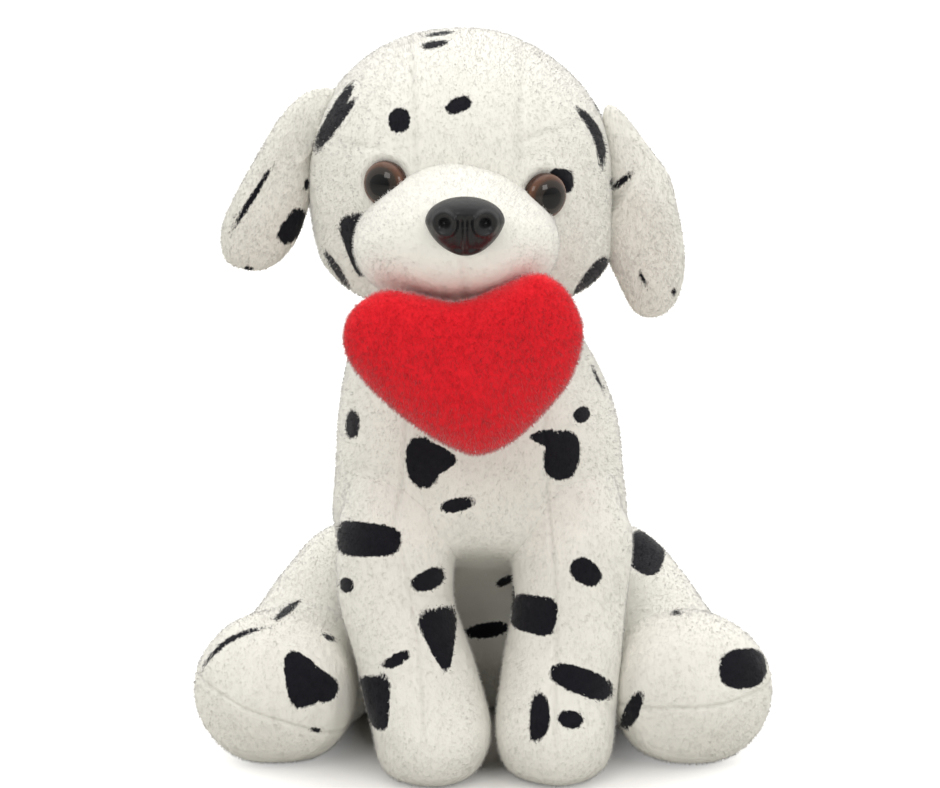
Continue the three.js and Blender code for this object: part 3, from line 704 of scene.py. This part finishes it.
EAR_THICK = 12.5
EAR_SHIFT = {"left": (0, 0, 0.65), "right": (0, 0, -0.15)}
EARS = {
    "right": {
        "turn": 10, "lean": (-0.6, 0, -0.8),
        "outline": [(22, 31), (12, 32), (1.8, 24), (-8.5, 7.6), (-14.7, -3.3), (-19, -13), (-19.6, -21.5), (-17, -27.2),
                    (-8.5, -30.2), (-1.3, -28), (5.5, -20.5), (9, -12), (11.5, -2), (13, 12), (19, 22)],
        "spots": [(FRONT, -78.2, 66.8, 11.6, 1.0, 57, 2.2, 0.1, 0), (FRONT, -65.0, 57.0, 6.6, 3.3, 52, 3, -0.1, 0),
                  (FRONT, -80.6, 42.4, 1.7, 1.5, 0, 2, 0, 0), (FRONT, -60, 71, 2.0, 1.0, 70, 2, 0, 0),
                  (REAR, 70, 82, 8, 5, 50, 2.4, 0, 0), (REAR, 80, 58, 6, 4, 20, 2.4, 0, 0), (REAR, 62, 60, 3, 2, 0, 2, 0, 0)],
    },
    "left": {
        "turn": -8, "lean": (0.2, 0, -0.9),
        "outline": [(-13.7, 38), (-8.7, 37), (-2.6, 29.8), (3.2, 22.4), (8.6, 14.6), (11.4, 4.2), (13.9, -9.4), (13.8, -20.9),
                    (11, -30), (5, -35.2), (-2.8, -33.6), (-9.2, -20.9), (-13.4, -9.4), (-14.6, 1.2), (-14.2, 11.2), (-14.9, 26)],
        "spots": [(FRONT, 54.4, 39.6, 2.9, 0.7, -62, 2.2, 0, 0), (FRONT, 65.2, 35, 1.2, 0.8, 90, 2, 0, 0),
                  (FRONT, 47.2, 72.4, 4.4, 1.1, 40, 2.4, 0, 0), (REAR, -55, 80, 7, 5, -60, 2.4, 0, 0),
                  (REAR, -56, 52, 8, 4, 80, 2.4, 0.2, 0), (REAR, -50, 34, 3, 2, 0, 2, 0, 0)],
    },
}


def folded(points, start, end, step):
    """A soft fold across the front of a flap: what lies below the line from start to end stands
    forward by a step, which fades out past the line's end."""
    along = np.array(end) - np.array(start)
    length = np.hypot(*along)
    x, z = points[..., 0] - start[0], points[..., 2] - start[1]
    above = (z * along[0] - x * along[1]) / length
    past = (x * along[0] + z * along[1]) / length - length
    forward = step * smoothstep(1.6, -1.6, above) * (1 - smoothstep(-6, 8, past)) * smoothstep(-26, -8, above)
    forward = forward * smoothstep(2, -2, points[..., 1])
    return points - forward[..., None] * np.array([0, 1.0, 0])


def turned(points, degrees, middle):
    """Points turned about the upright through the middle."""
    cos, sin = math.cos(math.radians(degrees)), math.sin(math.radians(degrees))
    return points @ np.array([[cos, sin, 0], [-sin, cos, 0], [0, 0, 1]]) + middle


for side, ear in EARS.items():
    ear_mid = box_of(f"ear_{side}_cover")[0] + EAR_SHIFT[side]
    flat_points, ear_seam = pillow_grid(ear["outline"], EAR_THICK)
    if side == "left":
        flat_points = folded(flat_points, (-13.2, 0.8), (-1.2, 16.0), 2.6)
    flat_points[:, :, 1] += 0.0016 * (flat_points[:, :, 2] - 10) ** 2 - 1.2
    flat_points[:, :, 1] += lumps(flat_points, 22, 5) * 0.5
    ear_points = turned(flat_points, ear["turn"], ear_mid)
    ear_normals = grid_normals(ear_points)
    ear_spots = spot_distance(ear_points, ear_normals, ear["spots"])
    ear_skin = sewn(f"ear_{side}_skin", ear_points, spot=ear_spots, seam=ear_seam)
    with_materials(ear_skin, plush)
    ear_fur = pile(f"ear_{side}_pile", ear_points, ear_normals, ear_spots, int(9000 * PILE_SHARE), 1.1, ear["lean"])
    with_materials(ear_fur, ivory_fibre, black_fibre)
    dress(ear_skin, ear_fur, f"ear_{side}", f"ear_{side}_cover")

# ------------------------------------------------------------------ heart
# The heart is a puffy pillow of red plush with a sewn edge and a dip below the notch. It hangs from
# the mouth, where its back is sewn to the muzzle.
HEART_OUTLINE = [
    (-3, 20.6), (-9.5, 21.9), (-16.4, 23.6), (-24.6, 24.4), (-31.6, 21.6), (-36.6, 16.4), (-38.4, 10), (-37.3, 3),
    (-32.2, -5), (-24.6, -13.2), (-13.8, -22), (-5, -27.5), (3.6, -30.8), (11.4, -28.9), (18.8, -24), (27.2, -15.4),
    (35, -4.6), (38.8, 9.6), (36.2, 20), (30.6, 27.4), (22.8, 30.2), (11.4, 25.6), (3.6, 21.9),
]
heart_mid, heart_half = box_of("heart_cover")
heart_points, heart_seam = pillow_grid(HEART_OUTLINE, 2.06 * 11.5, rows=150, around=400, seam_depth=0.4)
dip = np.exp(-((heart_points[:, :, 0] + 2.5) / 10) ** 2) * smoothstep(-14, 19, heart_points[:, :, 2])
heart_points[:, :, 1] *= 1 - 0.2 * dip
heart_points[:, :, 1] += lumps(heart_points, 24, 17) * 0.5
heart_points[:, :, 1] -= 0.07 * heart_points[:, :, 2]
heart_points = heart_points + heart_mid + np.array([0.6, 1.0, 2.8])
heart_normals = grid_normals(heart_points)
no_spot = np.full(heart_points.shape[:2], 30.0)
heart_plush = plush_skin("heart_plush", RED, tuft=0.9, sheen=0.25)
heart_fibre = fibre_material("heart_fibre", (0.90, 0.020, 0.032, 1), 0.5)
heart_skin = with_materials(sewn("heart_skin", heart_points, spot=no_spot, seam=heart_seam), heart_plush)
heart_fur = pile("heart_pile", heart_points, heart_normals, no_spot, int(26000 * PILE_SHARE), 1.4, (0.1, 0, -0.7), grain=0.6)
with_materials(heart_fur, heart_fibre, heart_fibre)
dress(heart_skin, heart_fur, "heart", "heart_cover")

# ------------------------------------------------------------------ torso
# The body is an upright bag of spotted plush with a round chest and a wider seat, closed under the
# head. A seam runs down each side of the chest and on down the front of each foreleg.
def swept(stations, rows, around, squareness=2.0, lie="upright"):
    """A stuffed tube through stations of a middle and two half sizes. Middles and the squares of the half
    sizes run through the stations on Catmull-Rom curves, which rounds the ends. Rings are superellipses:
    level on an upright piece, and across the way along on one that lies on the floor or curls up."""
    keys = np.array(stations, float)
    keys[:, 3:] **= 2
    keys = np.concatenate([2 * keys[:1] - keys[1:2], keys, 2 * keys[-1:] - keys[-2:-1]])
    way = (len(keys) - 3) * (0.5 - 0.5 * np.cos(np.linspace(0, math.pi, rows)))
    first = np.minimum(way.astype(int), len(keys) - 4)
    f = (way - first)[:, None]
    a, b, c, d = (keys[first + step] for step in range(4))
    values = b + 0.5 * f * ((c - a) + f * (2 * a - 5 * b + 4 * c - d + f * (3 * (b - c) + d - a)))
    middle, half = values[:, :3], np.sqrt(np.maximum(values[:, 3:], 0))
    tangent = np.gradient(middle, axis=0)
    tangent /= np.linalg.norm(tangent, axis=1, keepdims=True)
    across = np.tile([1.0, 0, 0], (rows, 1))
    over = np.tile([0, 1.0, 0], (rows, 1))
    if lie == "floor":
        across = np.stack([-tangent[:, 1], tangent[:, 0], 0 * tangent[:, 0]], axis=1)
        across /= np.linalg.norm(across, axis=1, keepdims=True)
    if lie != "upright":
        over = np.cross(tangent, across)
    turn = np.linspace(0, 2 * math.pi, around, endpoint=False)
    cos = np.sign(np.cos(turn)) * np.abs(np.cos(turn)) ** (2 / squareness)
    sin = np.sign(np.sin(turn)) * np.abs(np.sin(turn)) ** (2 / squareness)
    ring = cos[None, :, None] * (half[:, :1] * across)[:, None] + sin[None, :, None] * (half[:, 1:] * over)[:, None]
    return middle[:, None] + ring


def outside(points, stations, squareness=2.0):
    """Rough distance outside an upright tube: how far the level ring at a point's height is outgrown,
    times that ring's smaller half size."""
    keys = np.array(sorted(stations, key=lambda station: station[2]), float)
    x, y, wide, deep = (np.interp(points[..., 2], keys[:, 2], keys[:, column]) for column in (0, 1, 3, 4))
    wide, deep = np.maximum(wide, 0.5), np.maximum(deep, 0.5)
    size = np.abs((points[..., 0] - x) / wide) ** squareness + np.abs((points[..., 1] - y) / deep) ** squareness
    return (size ** (1 / squareness) - 1) * np.minimum(wide, deep)


def sewn_into(points, normals, distance, reach):
    """A soft valley where one stuffed piece meets another: the skin swells by a quarter of the reach
    where it passes through the other's, and by less further off."""
    swell = np.maximum(reach - np.abs(distance), 0) ** 2 / (4 * reach)
    return points + normals * swell[..., None]


def settled(points, softness=2.0):
    """The underside pressed flat on the floor, with a soft turn up."""
    z = points[..., 2]
    points[..., 2] = (z + np.sqrt(z * z + softness * softness)) / 2
    return points


torso_mid, torso_half = box_of("torso_cover")
seat_y = torso_mid[1] + torso_half[1] - 39.4
TORSO_SHAPE = [
    (0, seat_y + 1, -5, 0, 0), (0, seat_y + 1, -4, 22, 18), (0, seat_y + 1, 0.5, 34, 29), (0, seat_y, 8, 43, 36),
    (0, seat_y - 2, 22, 47, 41.4), (0, seat_y - 5.5, 40, 48, 39), (-0.5, seat_y - 14, 57, 49.6, 36.7),
    (-0.8, seat_y - 24, 68, 51, 39.7), (-1, seat_y - 35, 79, 51.8, 45.4), (-1.4, seat_y - 41, 95, 50.4, 44.4),
    (-2, seat_y - 45, 115, 48.4, 42.4), (-4, seat_y - 47, 134, 43.5, 39.4), (-6, seat_y - 48, 148, 36.8, 34.4),
    (-6.5, seat_y - 48, 159, 29, 27), (-6.5, seat_y - 48, 166, 0, 0),
]
TORSO_SQUARE = 2.3


def foreleg_shape(side):
    """Stations of a foreleg from inside the shoulder down to the paw, from its own box and its joint."""
    mid, half = box_of(f"front_leg_{side}_cover")
    sign = 1 if side == "left" else -1
    shoulder = sign * (mid[0] * sign + half[0] - 20.4)
    paw = mid[0] - sign * (half[0] - 21.0)
    front = mid[1] - half[1]
    return [
        (shoulder * 0.97, front + 44, 108, 0, 0), (shoulder * 0.98, front + 44, 105, 8, 8),
        (shoulder * 0.99, front + 43.6, 98, 15.4, 15.4), (shoulder, front + 42.4, 89, 18.8, 19),
        (shoulder * 1.03, front + 41.2, 80, 20.7, 21.2), (shoulder * 1.017, front + 36.2, 58, 19.7, 20.4),
        (shoulder * 0.45 + paw * 0.55, front + 29.2, 36, 20.2, 20.6), (paw, front + 23.0, 18, 20.7, 22.6),
        (paw, front + 21.2, 6, 18.2, 20.0), (paw, front + 21.2, -2, 10, 10.5), (paw, front + 21.2, -3.5, 0, 0),
    ]


FORELEGS = {side: foreleg_shape(side) for side in ("left", "right")}
SEAM_LINES = {
    "right": ((18, 50, 60, 74, 88, 102, 125, 150), (-20, -22, -24, -26, -30.5, -28, -26, -24)),
    "left": ((18, 50, 60, 74, 88, 102, 125, 150), (24, 24.5, 24.5, 24, 22.5, 21.5, 20.5, 20)),
}


def front_seam(points, normals, side):
    """How much a point lies in the seam down the front of the chest and foreleg on one side."""
    line = np.interp(points[..., 2], *SEAM_LINES[side])
    return np.exp(-((points[..., 0] - line) / 0.8) ** 2) * smoothstep(0.0, 0.4, -normals[..., 1])


TORSO_SPOTS = [
    (FRONT, -45, -10.4, 4.9, 2.5, 88, 2.3, 0, 0), (FRONT, -20.8, -23.2, 8.9, 5.6, 97, 2.2, 0, 0), (FRONT, -15.5, -22.2, 6.6, 5.2, 0, 2, 0.5, 0),
    (FRONT, 26.5, -20.8, 8.6, 6.2, 80, 2.4, 0, 0), (FRONT, 20.5, -14.8, 5.2, 2.7, -5, 2.3, -0.4, 0),
    (FRONT, 33.3, -7.1, 3.2, 2.6, 35, 2.2, 0, 0), (FRONT, -9.1, -37.6, 5.9, 2.4, 12, 2.3, 0, 0),
    (FRONT, 39.3, 5.3, 4.3, 0.6, -63, 2.2, 0, 0), (FRONT, -39.4, -49.5, 11.3, 5.8, -2, 3.6, 0.12, 0),
    (FRONT, 7.8, -65.7, 3.6, 1.6, 28, 2.3, 0, 0), (FRONT, 1.4, -84.0, 8.0, 2.8, 8, 2.4, 0, 0),
    (LEFT, 20, 8, 8, 5, -35, 2.4, 0.2, 0), (LEFT, 34, -34, 10, 7, 20, 2.5, 0.1, 0), (LEFT, 62, -58, 8, 6, -50, 2.4, 0, 0),
    (LEFT, 16, -50, 6, 4, 10, 2.4, 0, 0), (RIGHT, -18, 4, 6, 8, 20, 2.5, 0, 0), (RIGHT, -36, -26, 9, 6, 30, 2.4, 0.2, 0),
    (RIGHT, -18, -48, 7, 4, -15, 2.4, 0, 0), (RIGHT, -64, -60, 9, 6, 40, 2.4, 0.1, 0),
    (REAR, 6, 10, 9, 6, 25, 2.5, 0.2, 0), (REAR, -22, -8, 7, 9, 10, 2.5, 0, 0), (REAR, 20, -26, 11, 7, -20, 2.4, 0.2, 0),
    (REAR, -12, -42, 8, 5, 35, 2.4, 0, 0), (REAR, -34, -66, 9, 7, -30, 2.4, 0.1, 0), (REAR, 30, -74, 8, 10, 20, 2.5, 0, 0),
    (REAR, 2, -72, 5, 4, 0, 2.3, 0, 0), (REAR, -22, -100, 8, 5, 15, 2.4, 0, 0), (REAR, 18, -104, 6, 4, -30, 2.4, 0, 0),
]
torso_points = swept(TORSO_SHAPE, 230, 340, TORSO_SQUARE)
torso_normals = grid_normals(torso_points)
torso_points = torso_points + torso_normals * (lumps(torso_points, 42, 21) * 0.6)[..., None]
torso_seam = np.zeros(torso_points.shape[:2])
for side, shape in FORELEGS.items():
    torso_points = sewn_into(torso_points, torso_normals, outside(torso_points, shape), 5)
    torso_seam = np.maximum(torso_seam, front_seam(torso_points, torso_normals, side) * smoothstep(66, 74, torso_points[..., 2]))
back_line = np.exp(-(torso_points[..., 0] / 0.9) ** 2) * smoothstep(0.1, 0.5, torso_normals[..., 1])
torso_seam = np.maximum(torso_seam, back_line)
torso_points = settled(torso_points - torso_normals * (torso_seam * 0.45)[..., None])
torso_normals = grid_normals(torso_points)
torso_spots = spot_distance(torso_points, torso_normals, TORSO_SPOTS)
torso_skin = with_materials(sewn("torso_skin", torso_points, spot=torso_spots, seam=torso_seam), plush)
torso_fur = pile("torso_pile", torso_points, torso_normals, torso_spots, int(49000 * PILE_SHARE), 1.1, (0, 0, -0.8))
with_materials(torso_fur, ivory_fibre, black_fibre)
dress(torso_skin, torso_fur, "torso", "torso_cover")

# ------------------------------------------------------------------ forelegs
# Each foreleg is a stuffed tube sewn into the side of the chest and standing on its paw. The cover
# bends where it turns at the shoulder, because the chest and the leg are one skin.
FORELEG_SPOTS = {
    "right": [
        (FRONT, -39.4, -49.5, 11.3, 5.8, -2, 3.6, 0.12, 0), (FRONT, -46.9, -65.3, 2.7, 2.6, 20, 2.2, 0, 0),
        (FRONT, -19, -63.4, 6.0, 3.5, 22, 2.4, -0.1, 0.01), (FRONT, -14.6, -83.6, 10.8, 5.0, -80, 3.2, 0.62, 0),
        (FRONT, -29.5, -90.1, 5.7, 2.0, 28, 2.3, 0, 0), (FRONT, -37.3, -105.4, 9.4, 5.4, -80, 3.2, 0.4, 0.01),
        (RIGHT, 10, -70, 8, 5, 30, 2.4, 0.1, 0), (RIGHT, -2, -96, 5, 7, 10, 2.5, 0, 0),
        (LEFT, -22, -92, 6, 4, 10, 2.4, 0, 0), (REAR, 30, -86, 6, 8, 15, 2.4, 0, 0), (REAR, 18, -112, 6, 4, 0, 2.4, 0, 0),
    ],
    "left": [
        (FRONT, 34.7, -60.5, 5.8, 4.2, -38, 2.3, 0.1, 0), (FRONT, 17.1, -75.1, 7.6, 6.6, -8, 4.5, -0.05, 0),
        (FRONT, 33.4, -97.6, 11.6, 4.5, -22, 2.6, 0, -0.004), (FRONT, 18.9, -109.5, 8.2, 3.4, 86, 2.3, 0, 0.012),
        (FRONT, 29.3, -110.2, 4.3, 3.0, -12, 2.4, 0, 0), (LEFT, -8, -62, 7, 5, -30, 2.4, 0.1, 0),
        (LEFT, 2, -90, 6, 8, 10, 2.5, 0, 0), (RIGHT, 24, -66, 5, 4, 30, 2.4, 0, 0),
        (REAR, -30, -80, 8, 5, 20, 2.4, 0, 0), (REAR, -22, -108, 5, 5, 0, 2.4, 0, 0),
    ],
}
for side, shape in FORELEGS.items():
    leg_points = swept(shape, 190, 210)
    leg_normals = grid_normals(leg_points)
    leg_points = leg_points + leg_normals * (lumps(leg_points, 26, 31) * 0.5)[..., None]
    leg_points = sewn_into(leg_points, leg_normals, outside(leg_points, TORSO_SHAPE, TORSO_SQUARE), 5)
    leg_seam = front_seam(leg_points, leg_normals, side) * smoothstep(14, 26, leg_points[..., 2])
    leg_points = settled(leg_points - leg_normals * (leg_seam * 0.45)[..., None])
    leg_normals = grid_normals(leg_points)
    leg_spots = spot_distance(leg_points, leg_normals, FORELEG_SPOTS[side])
    leg_skin = with_materials(sewn(f"foreleg_{side}_skin", leg_points, spot=leg_spots, seam=leg_seam), plush)
    leg_fur = pile(f"foreleg_{side}_pile", leg_points, leg_normals, leg_spots, int(15000 * PILE_SHARE), 1.1, (0, 0, -0.8))
    with_materials(leg_fur, ivory_fibre, black_fibre)
    pivot = shape[4][:2]
    crossing = ("torso", (pivot[0] * MM, pivot[1] * MM, 0.095), (pivot[0] * MM, pivot[1] * MM, 0.058))
    dress(leg_skin, leg_fur, f"front_leg_{side}", f"front_leg_{side}_cover", blend=crossing)

# ------------------------------------------------------------------ hind legs
# Each hind leg lies along the floor from the haunch to a big round foot that points forwards and out.
# The foot has a sole sewn on across its front.
HIND_SPOTS = {
    "right": [
        (FRONT, -87.6, -84.8, 12.5, 0.9, 33, 2.3, 0, -0.018), (FRONT, -68.4, -75.4, 4.2, 1.2, 35, 2.3, 0, 0),
        (FRONT, -61.6, -96.6, 9.8, 6.4, 119, 3.0, 0.5, 0), (FRONT, -55.9, -99.7, 6.4, 5.0, -35, 2.3, 0, 0), (FRONT, -57.6, -115, 1.8, 0.9, -10, 2, 0, 0),
        (FRONT, -53.2, -84, 2.4, 0.8, -30, 2, 0, 0), (RIGHT, -46, -82, 8, 6, 20, 2.4, 0.2, 0),
        (RIGHT, -8, -100, 7, 5, -30, 2.4, 0, 0), (RIGHT, -60, -92, 8, 6, 30, 2.4, 0, 0), (REAR, 52, -78, 6, 4, 10, 2.4, 0, 0),
    ],
    "left": [
        (FRONT, 88.9, -94.0, 8.7, 6.8, 0, 2.5, 0, 0), (FRONT, 50.8, -108.8, 7.2, 2.4, 68, 2.6, 0, 0),
        (FRONT, 58, -57, 7.4, 6.8, -30, 2.6, 0, 0), (FRONT, 67, -76, 1.8, 0.6, 10, 2, 0, 0),
        (LEFT, 48, -80, 9, 6, -20, 2.4, 0.2, 0), (LEFT, 6, -88, 6, 8, 20, 2.5, 0, 0), (LEFT, 58, -96, 8, 5, 10, 2.4, 0, 0),
        (REAR, -54, -84, 7, 5, 30, 2.4, 0, 0),
    ],
}
SOLE = {"left": (27.5, 0.1), "right": (23.5, 0.38)}    # height of the sole's seam, and its rise outwards
for side in ("left", "right"):
    sign = 1 if side == "left" else -1
    hind_mid, hind_half = box_of(f"hind_leg_{side}_cover")
    toe, heel = hind_mid[1] - hind_half[1], hind_mid[1] + hind_half[1]
    outer = sign * hind_mid[0] + hind_half[0]
    # distance out, y, height, half size across, half height
    shape = [
        (outer - 64, heel + 3, 33, 0, 0), (outer - 62, heel, 33, 11, 13), (outer - 60, heel - 6, 33, 19, 24),
        (outer - 56, heel - 14, 32.5, 24, 31), (outer - 51.6, heel - 25, 32, 25.5, 33.4), (outer - 45, heel - 40, 29.5, 25.4, 30.6),
        (outer - 38, heel - 58, 26.5, 24.6, 27.6), (outer - 31.4, toe + 37, 25.2, 25, 26.4), (outer - 26.4, toe + 21, 26.0, 27.6, 26.6),
        (outer - 24.0, toe + 10, 26.2, 24.4, 23), (outer - 22.6, toe + 2.5, 26.2, 13, 12.5), (outer - 22.2, toe - 1.0, 26.2, 0, 0),
    ]
    hind_points = swept([(sign * out, *rest) for out, *rest in shape], 200, 260, 2.12, "floor")
    hind_normals = grid_normals(hind_points)
    hind_points = hind_points + hind_normals * (lumps(hind_points, 30, 41) * 0.6)[..., None]
    sole_height, sole_rise = SOLE[side]
    sole = (hind_points[..., 2] - sole_height - sole_rise * (sign * hind_points[..., 0] - outer + 26)) / 0.8
    hind_seam = np.exp(-sole ** 2) * (1 - smoothstep(toe + 14, toe + 22, hind_points[..., 1]))
    ankle = np.exp(-((hind_points[..., 1] - toe - 44) / 7) ** 2) * smoothstep(0.2, 0.9, hind_normals[..., 2])
    hind_points = settled(hind_points - hind_normals * (hind_seam * 0.45 + ankle * 1.6)[..., None])
    hind_normals = grid_normals(hind_points)
    hind_spots = spot_distance(hind_points, hind_normals, HIND_SPOTS[side])
    if side == "left":
        below_sole = hind_points[..., 0] > 70
        hind_spots = np.where(below_sole & (sole < 0) & (hind_points[..., 1] < toe + 22), np.maximum(hind_spots, 1.5), hind_spots)
    hind_skin = with_materials(sewn(f"hind_leg_{side}_skin", hind_points, spot=hind_spots, seam=hind_seam), plush)
    hind_fur = pile(f"hind_leg_{side}_pile", hind_points, hind_normals, hind_spots, int(22000 * PILE_SHARE), 1.1, (0.3 * sign, -0.7, -0.3))
    with_materials(hind_fur, ivory_fibre, black_fibre)
    dress(hind_skin, hind_fur, f"hind_leg_{side}", f"hind_leg_{side}_cover")

# ------------------------------------------------------------------ tail
# The tail is a thin stuffed tube that curls up behind the seat, with a black tip.
tail_mid, tail_half = box_of("tail_cover")
tail_back = tail_mid[1] + tail_half[1]
TAIL_SHAPE = [
    (0, tail_back - 34, 26, 0, 0), (0, tail_back - 32, 26, 6, 6), (0, tail_back - 25, 26.5, 8.6, 8.6),
    (0, tail_back - 16, 30, 8.6, 8.6), (0, tail_back - 9.5, 39, 8.1, 8.1), (0, tail_back - 7, 51, 7.5, 7.5),
    (0, tail_back - 7.5, 63, 7.0, 7.0), (0, tail_back - 8.6, 69.5, 4.6, 4.6), (0, tail_back - 9, 72, 0, 0),
]
tail_points = swept(TAIL_SHAPE, 120, 90, 2.0, "back")
tail_normals = grid_normals(tail_points)
tail_points = tail_points + tail_normals * (lumps(tail_points, 16, 51) * 0.4)[..., None]
tail_seam = np.exp(-(tail_points[..., 0] / 0.7) ** 2) * smoothstep(0.1, 0.5, -tail_normals[..., 1])
tail_spots = np.minimum(60 - tail_points[..., 2], spot_distance(tail_points, tail_normals, [(REAR, 3, -84, 5, 4, 20, 2.3, 0, 0)]))
tail_skin = with_materials(sewn("tail_skin", tail_points, spot=tail_spots, seam=tail_seam), plush)
tail_fur = pile("tail_pile", tail_points, tail_normals, tail_spots, int(4000 * PILE_SHARE), 1.4, (0, 0.2, 0.8))
with_materials(tail_fur, ivory_fibre, black_fibre)
dress(tail_skin, tail_fur, "tail", "tail_cover")

# ------------------------------------------------------------------ inner parts
# Hidden inside the covers: white polyester fibre, a small cotton bag of pellets in the seat, and the
# white plastic washers that lock the eyes and nose.
def inner_material(name, colour, scale, roughness, height):
    """A plain white material with a shade and a relief of one noise."""
    material = bpy.data.materials.new(name)
    material.use_nodes = True
    tree = material.node_tree
    shader = tree.nodes["Principled BSDF"]
    place = tree.nodes.new("ShaderNodeTexCoord")
    texture = tree.nodes.new("ShaderNodeTexNoise")
    texture.inputs["Scale"].default_value = scale
    texture.inputs["Detail"].default_value = 4
    link(tree, place.outputs["Object"], texture.inputs["Vector"])
    tint = tree.nodes.new("ShaderNodeMix")
    tint.data_type = "RGBA"
    tint.inputs["A"].default_value = (*(0.85 * part for part in colour), 1)
    tint.inputs["B"].default_value = (*colour, 1)
    link(tree, texture.outputs["Fac"], tint.inputs["Factor"])
    link(tree, tint.outputs["Result"], shader.inputs["Base Color"])
    bump = tree.nodes.new("ShaderNodeBump")
    bump.inputs["Distance"].default_value = height
    link(tree, texture.outputs["Fac"], bump.inputs["Height"])
    link(tree, bump.outputs["Normal"], shader.inputs["Normal"])
    shader.inputs["Roughness"].default_value = roughness
    return material


fibre_fill = inner_material("fibre_fill", (0.88, 0.88, 0.87), 160, 0.95, 0.001)
pellet_cotton = inner_material("pellet_cotton", (0.72, 0.70, 0.64), 420, 0.9, 0.0006)
washer_white = inner_material("washer_white", (0.80, 0.80, 0.78), 900, 0.45, 0.0001)
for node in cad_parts:
    inner = fibre_fill if node.endswith("_stuffing") else pellet_cotton if node == "seat_pellet_bag" else None
    inner = washer_white if "washer" in node else inner
    if inner is not None:
        for slot in bpy.data.objects[node].material_slots:
            slot.material = inner
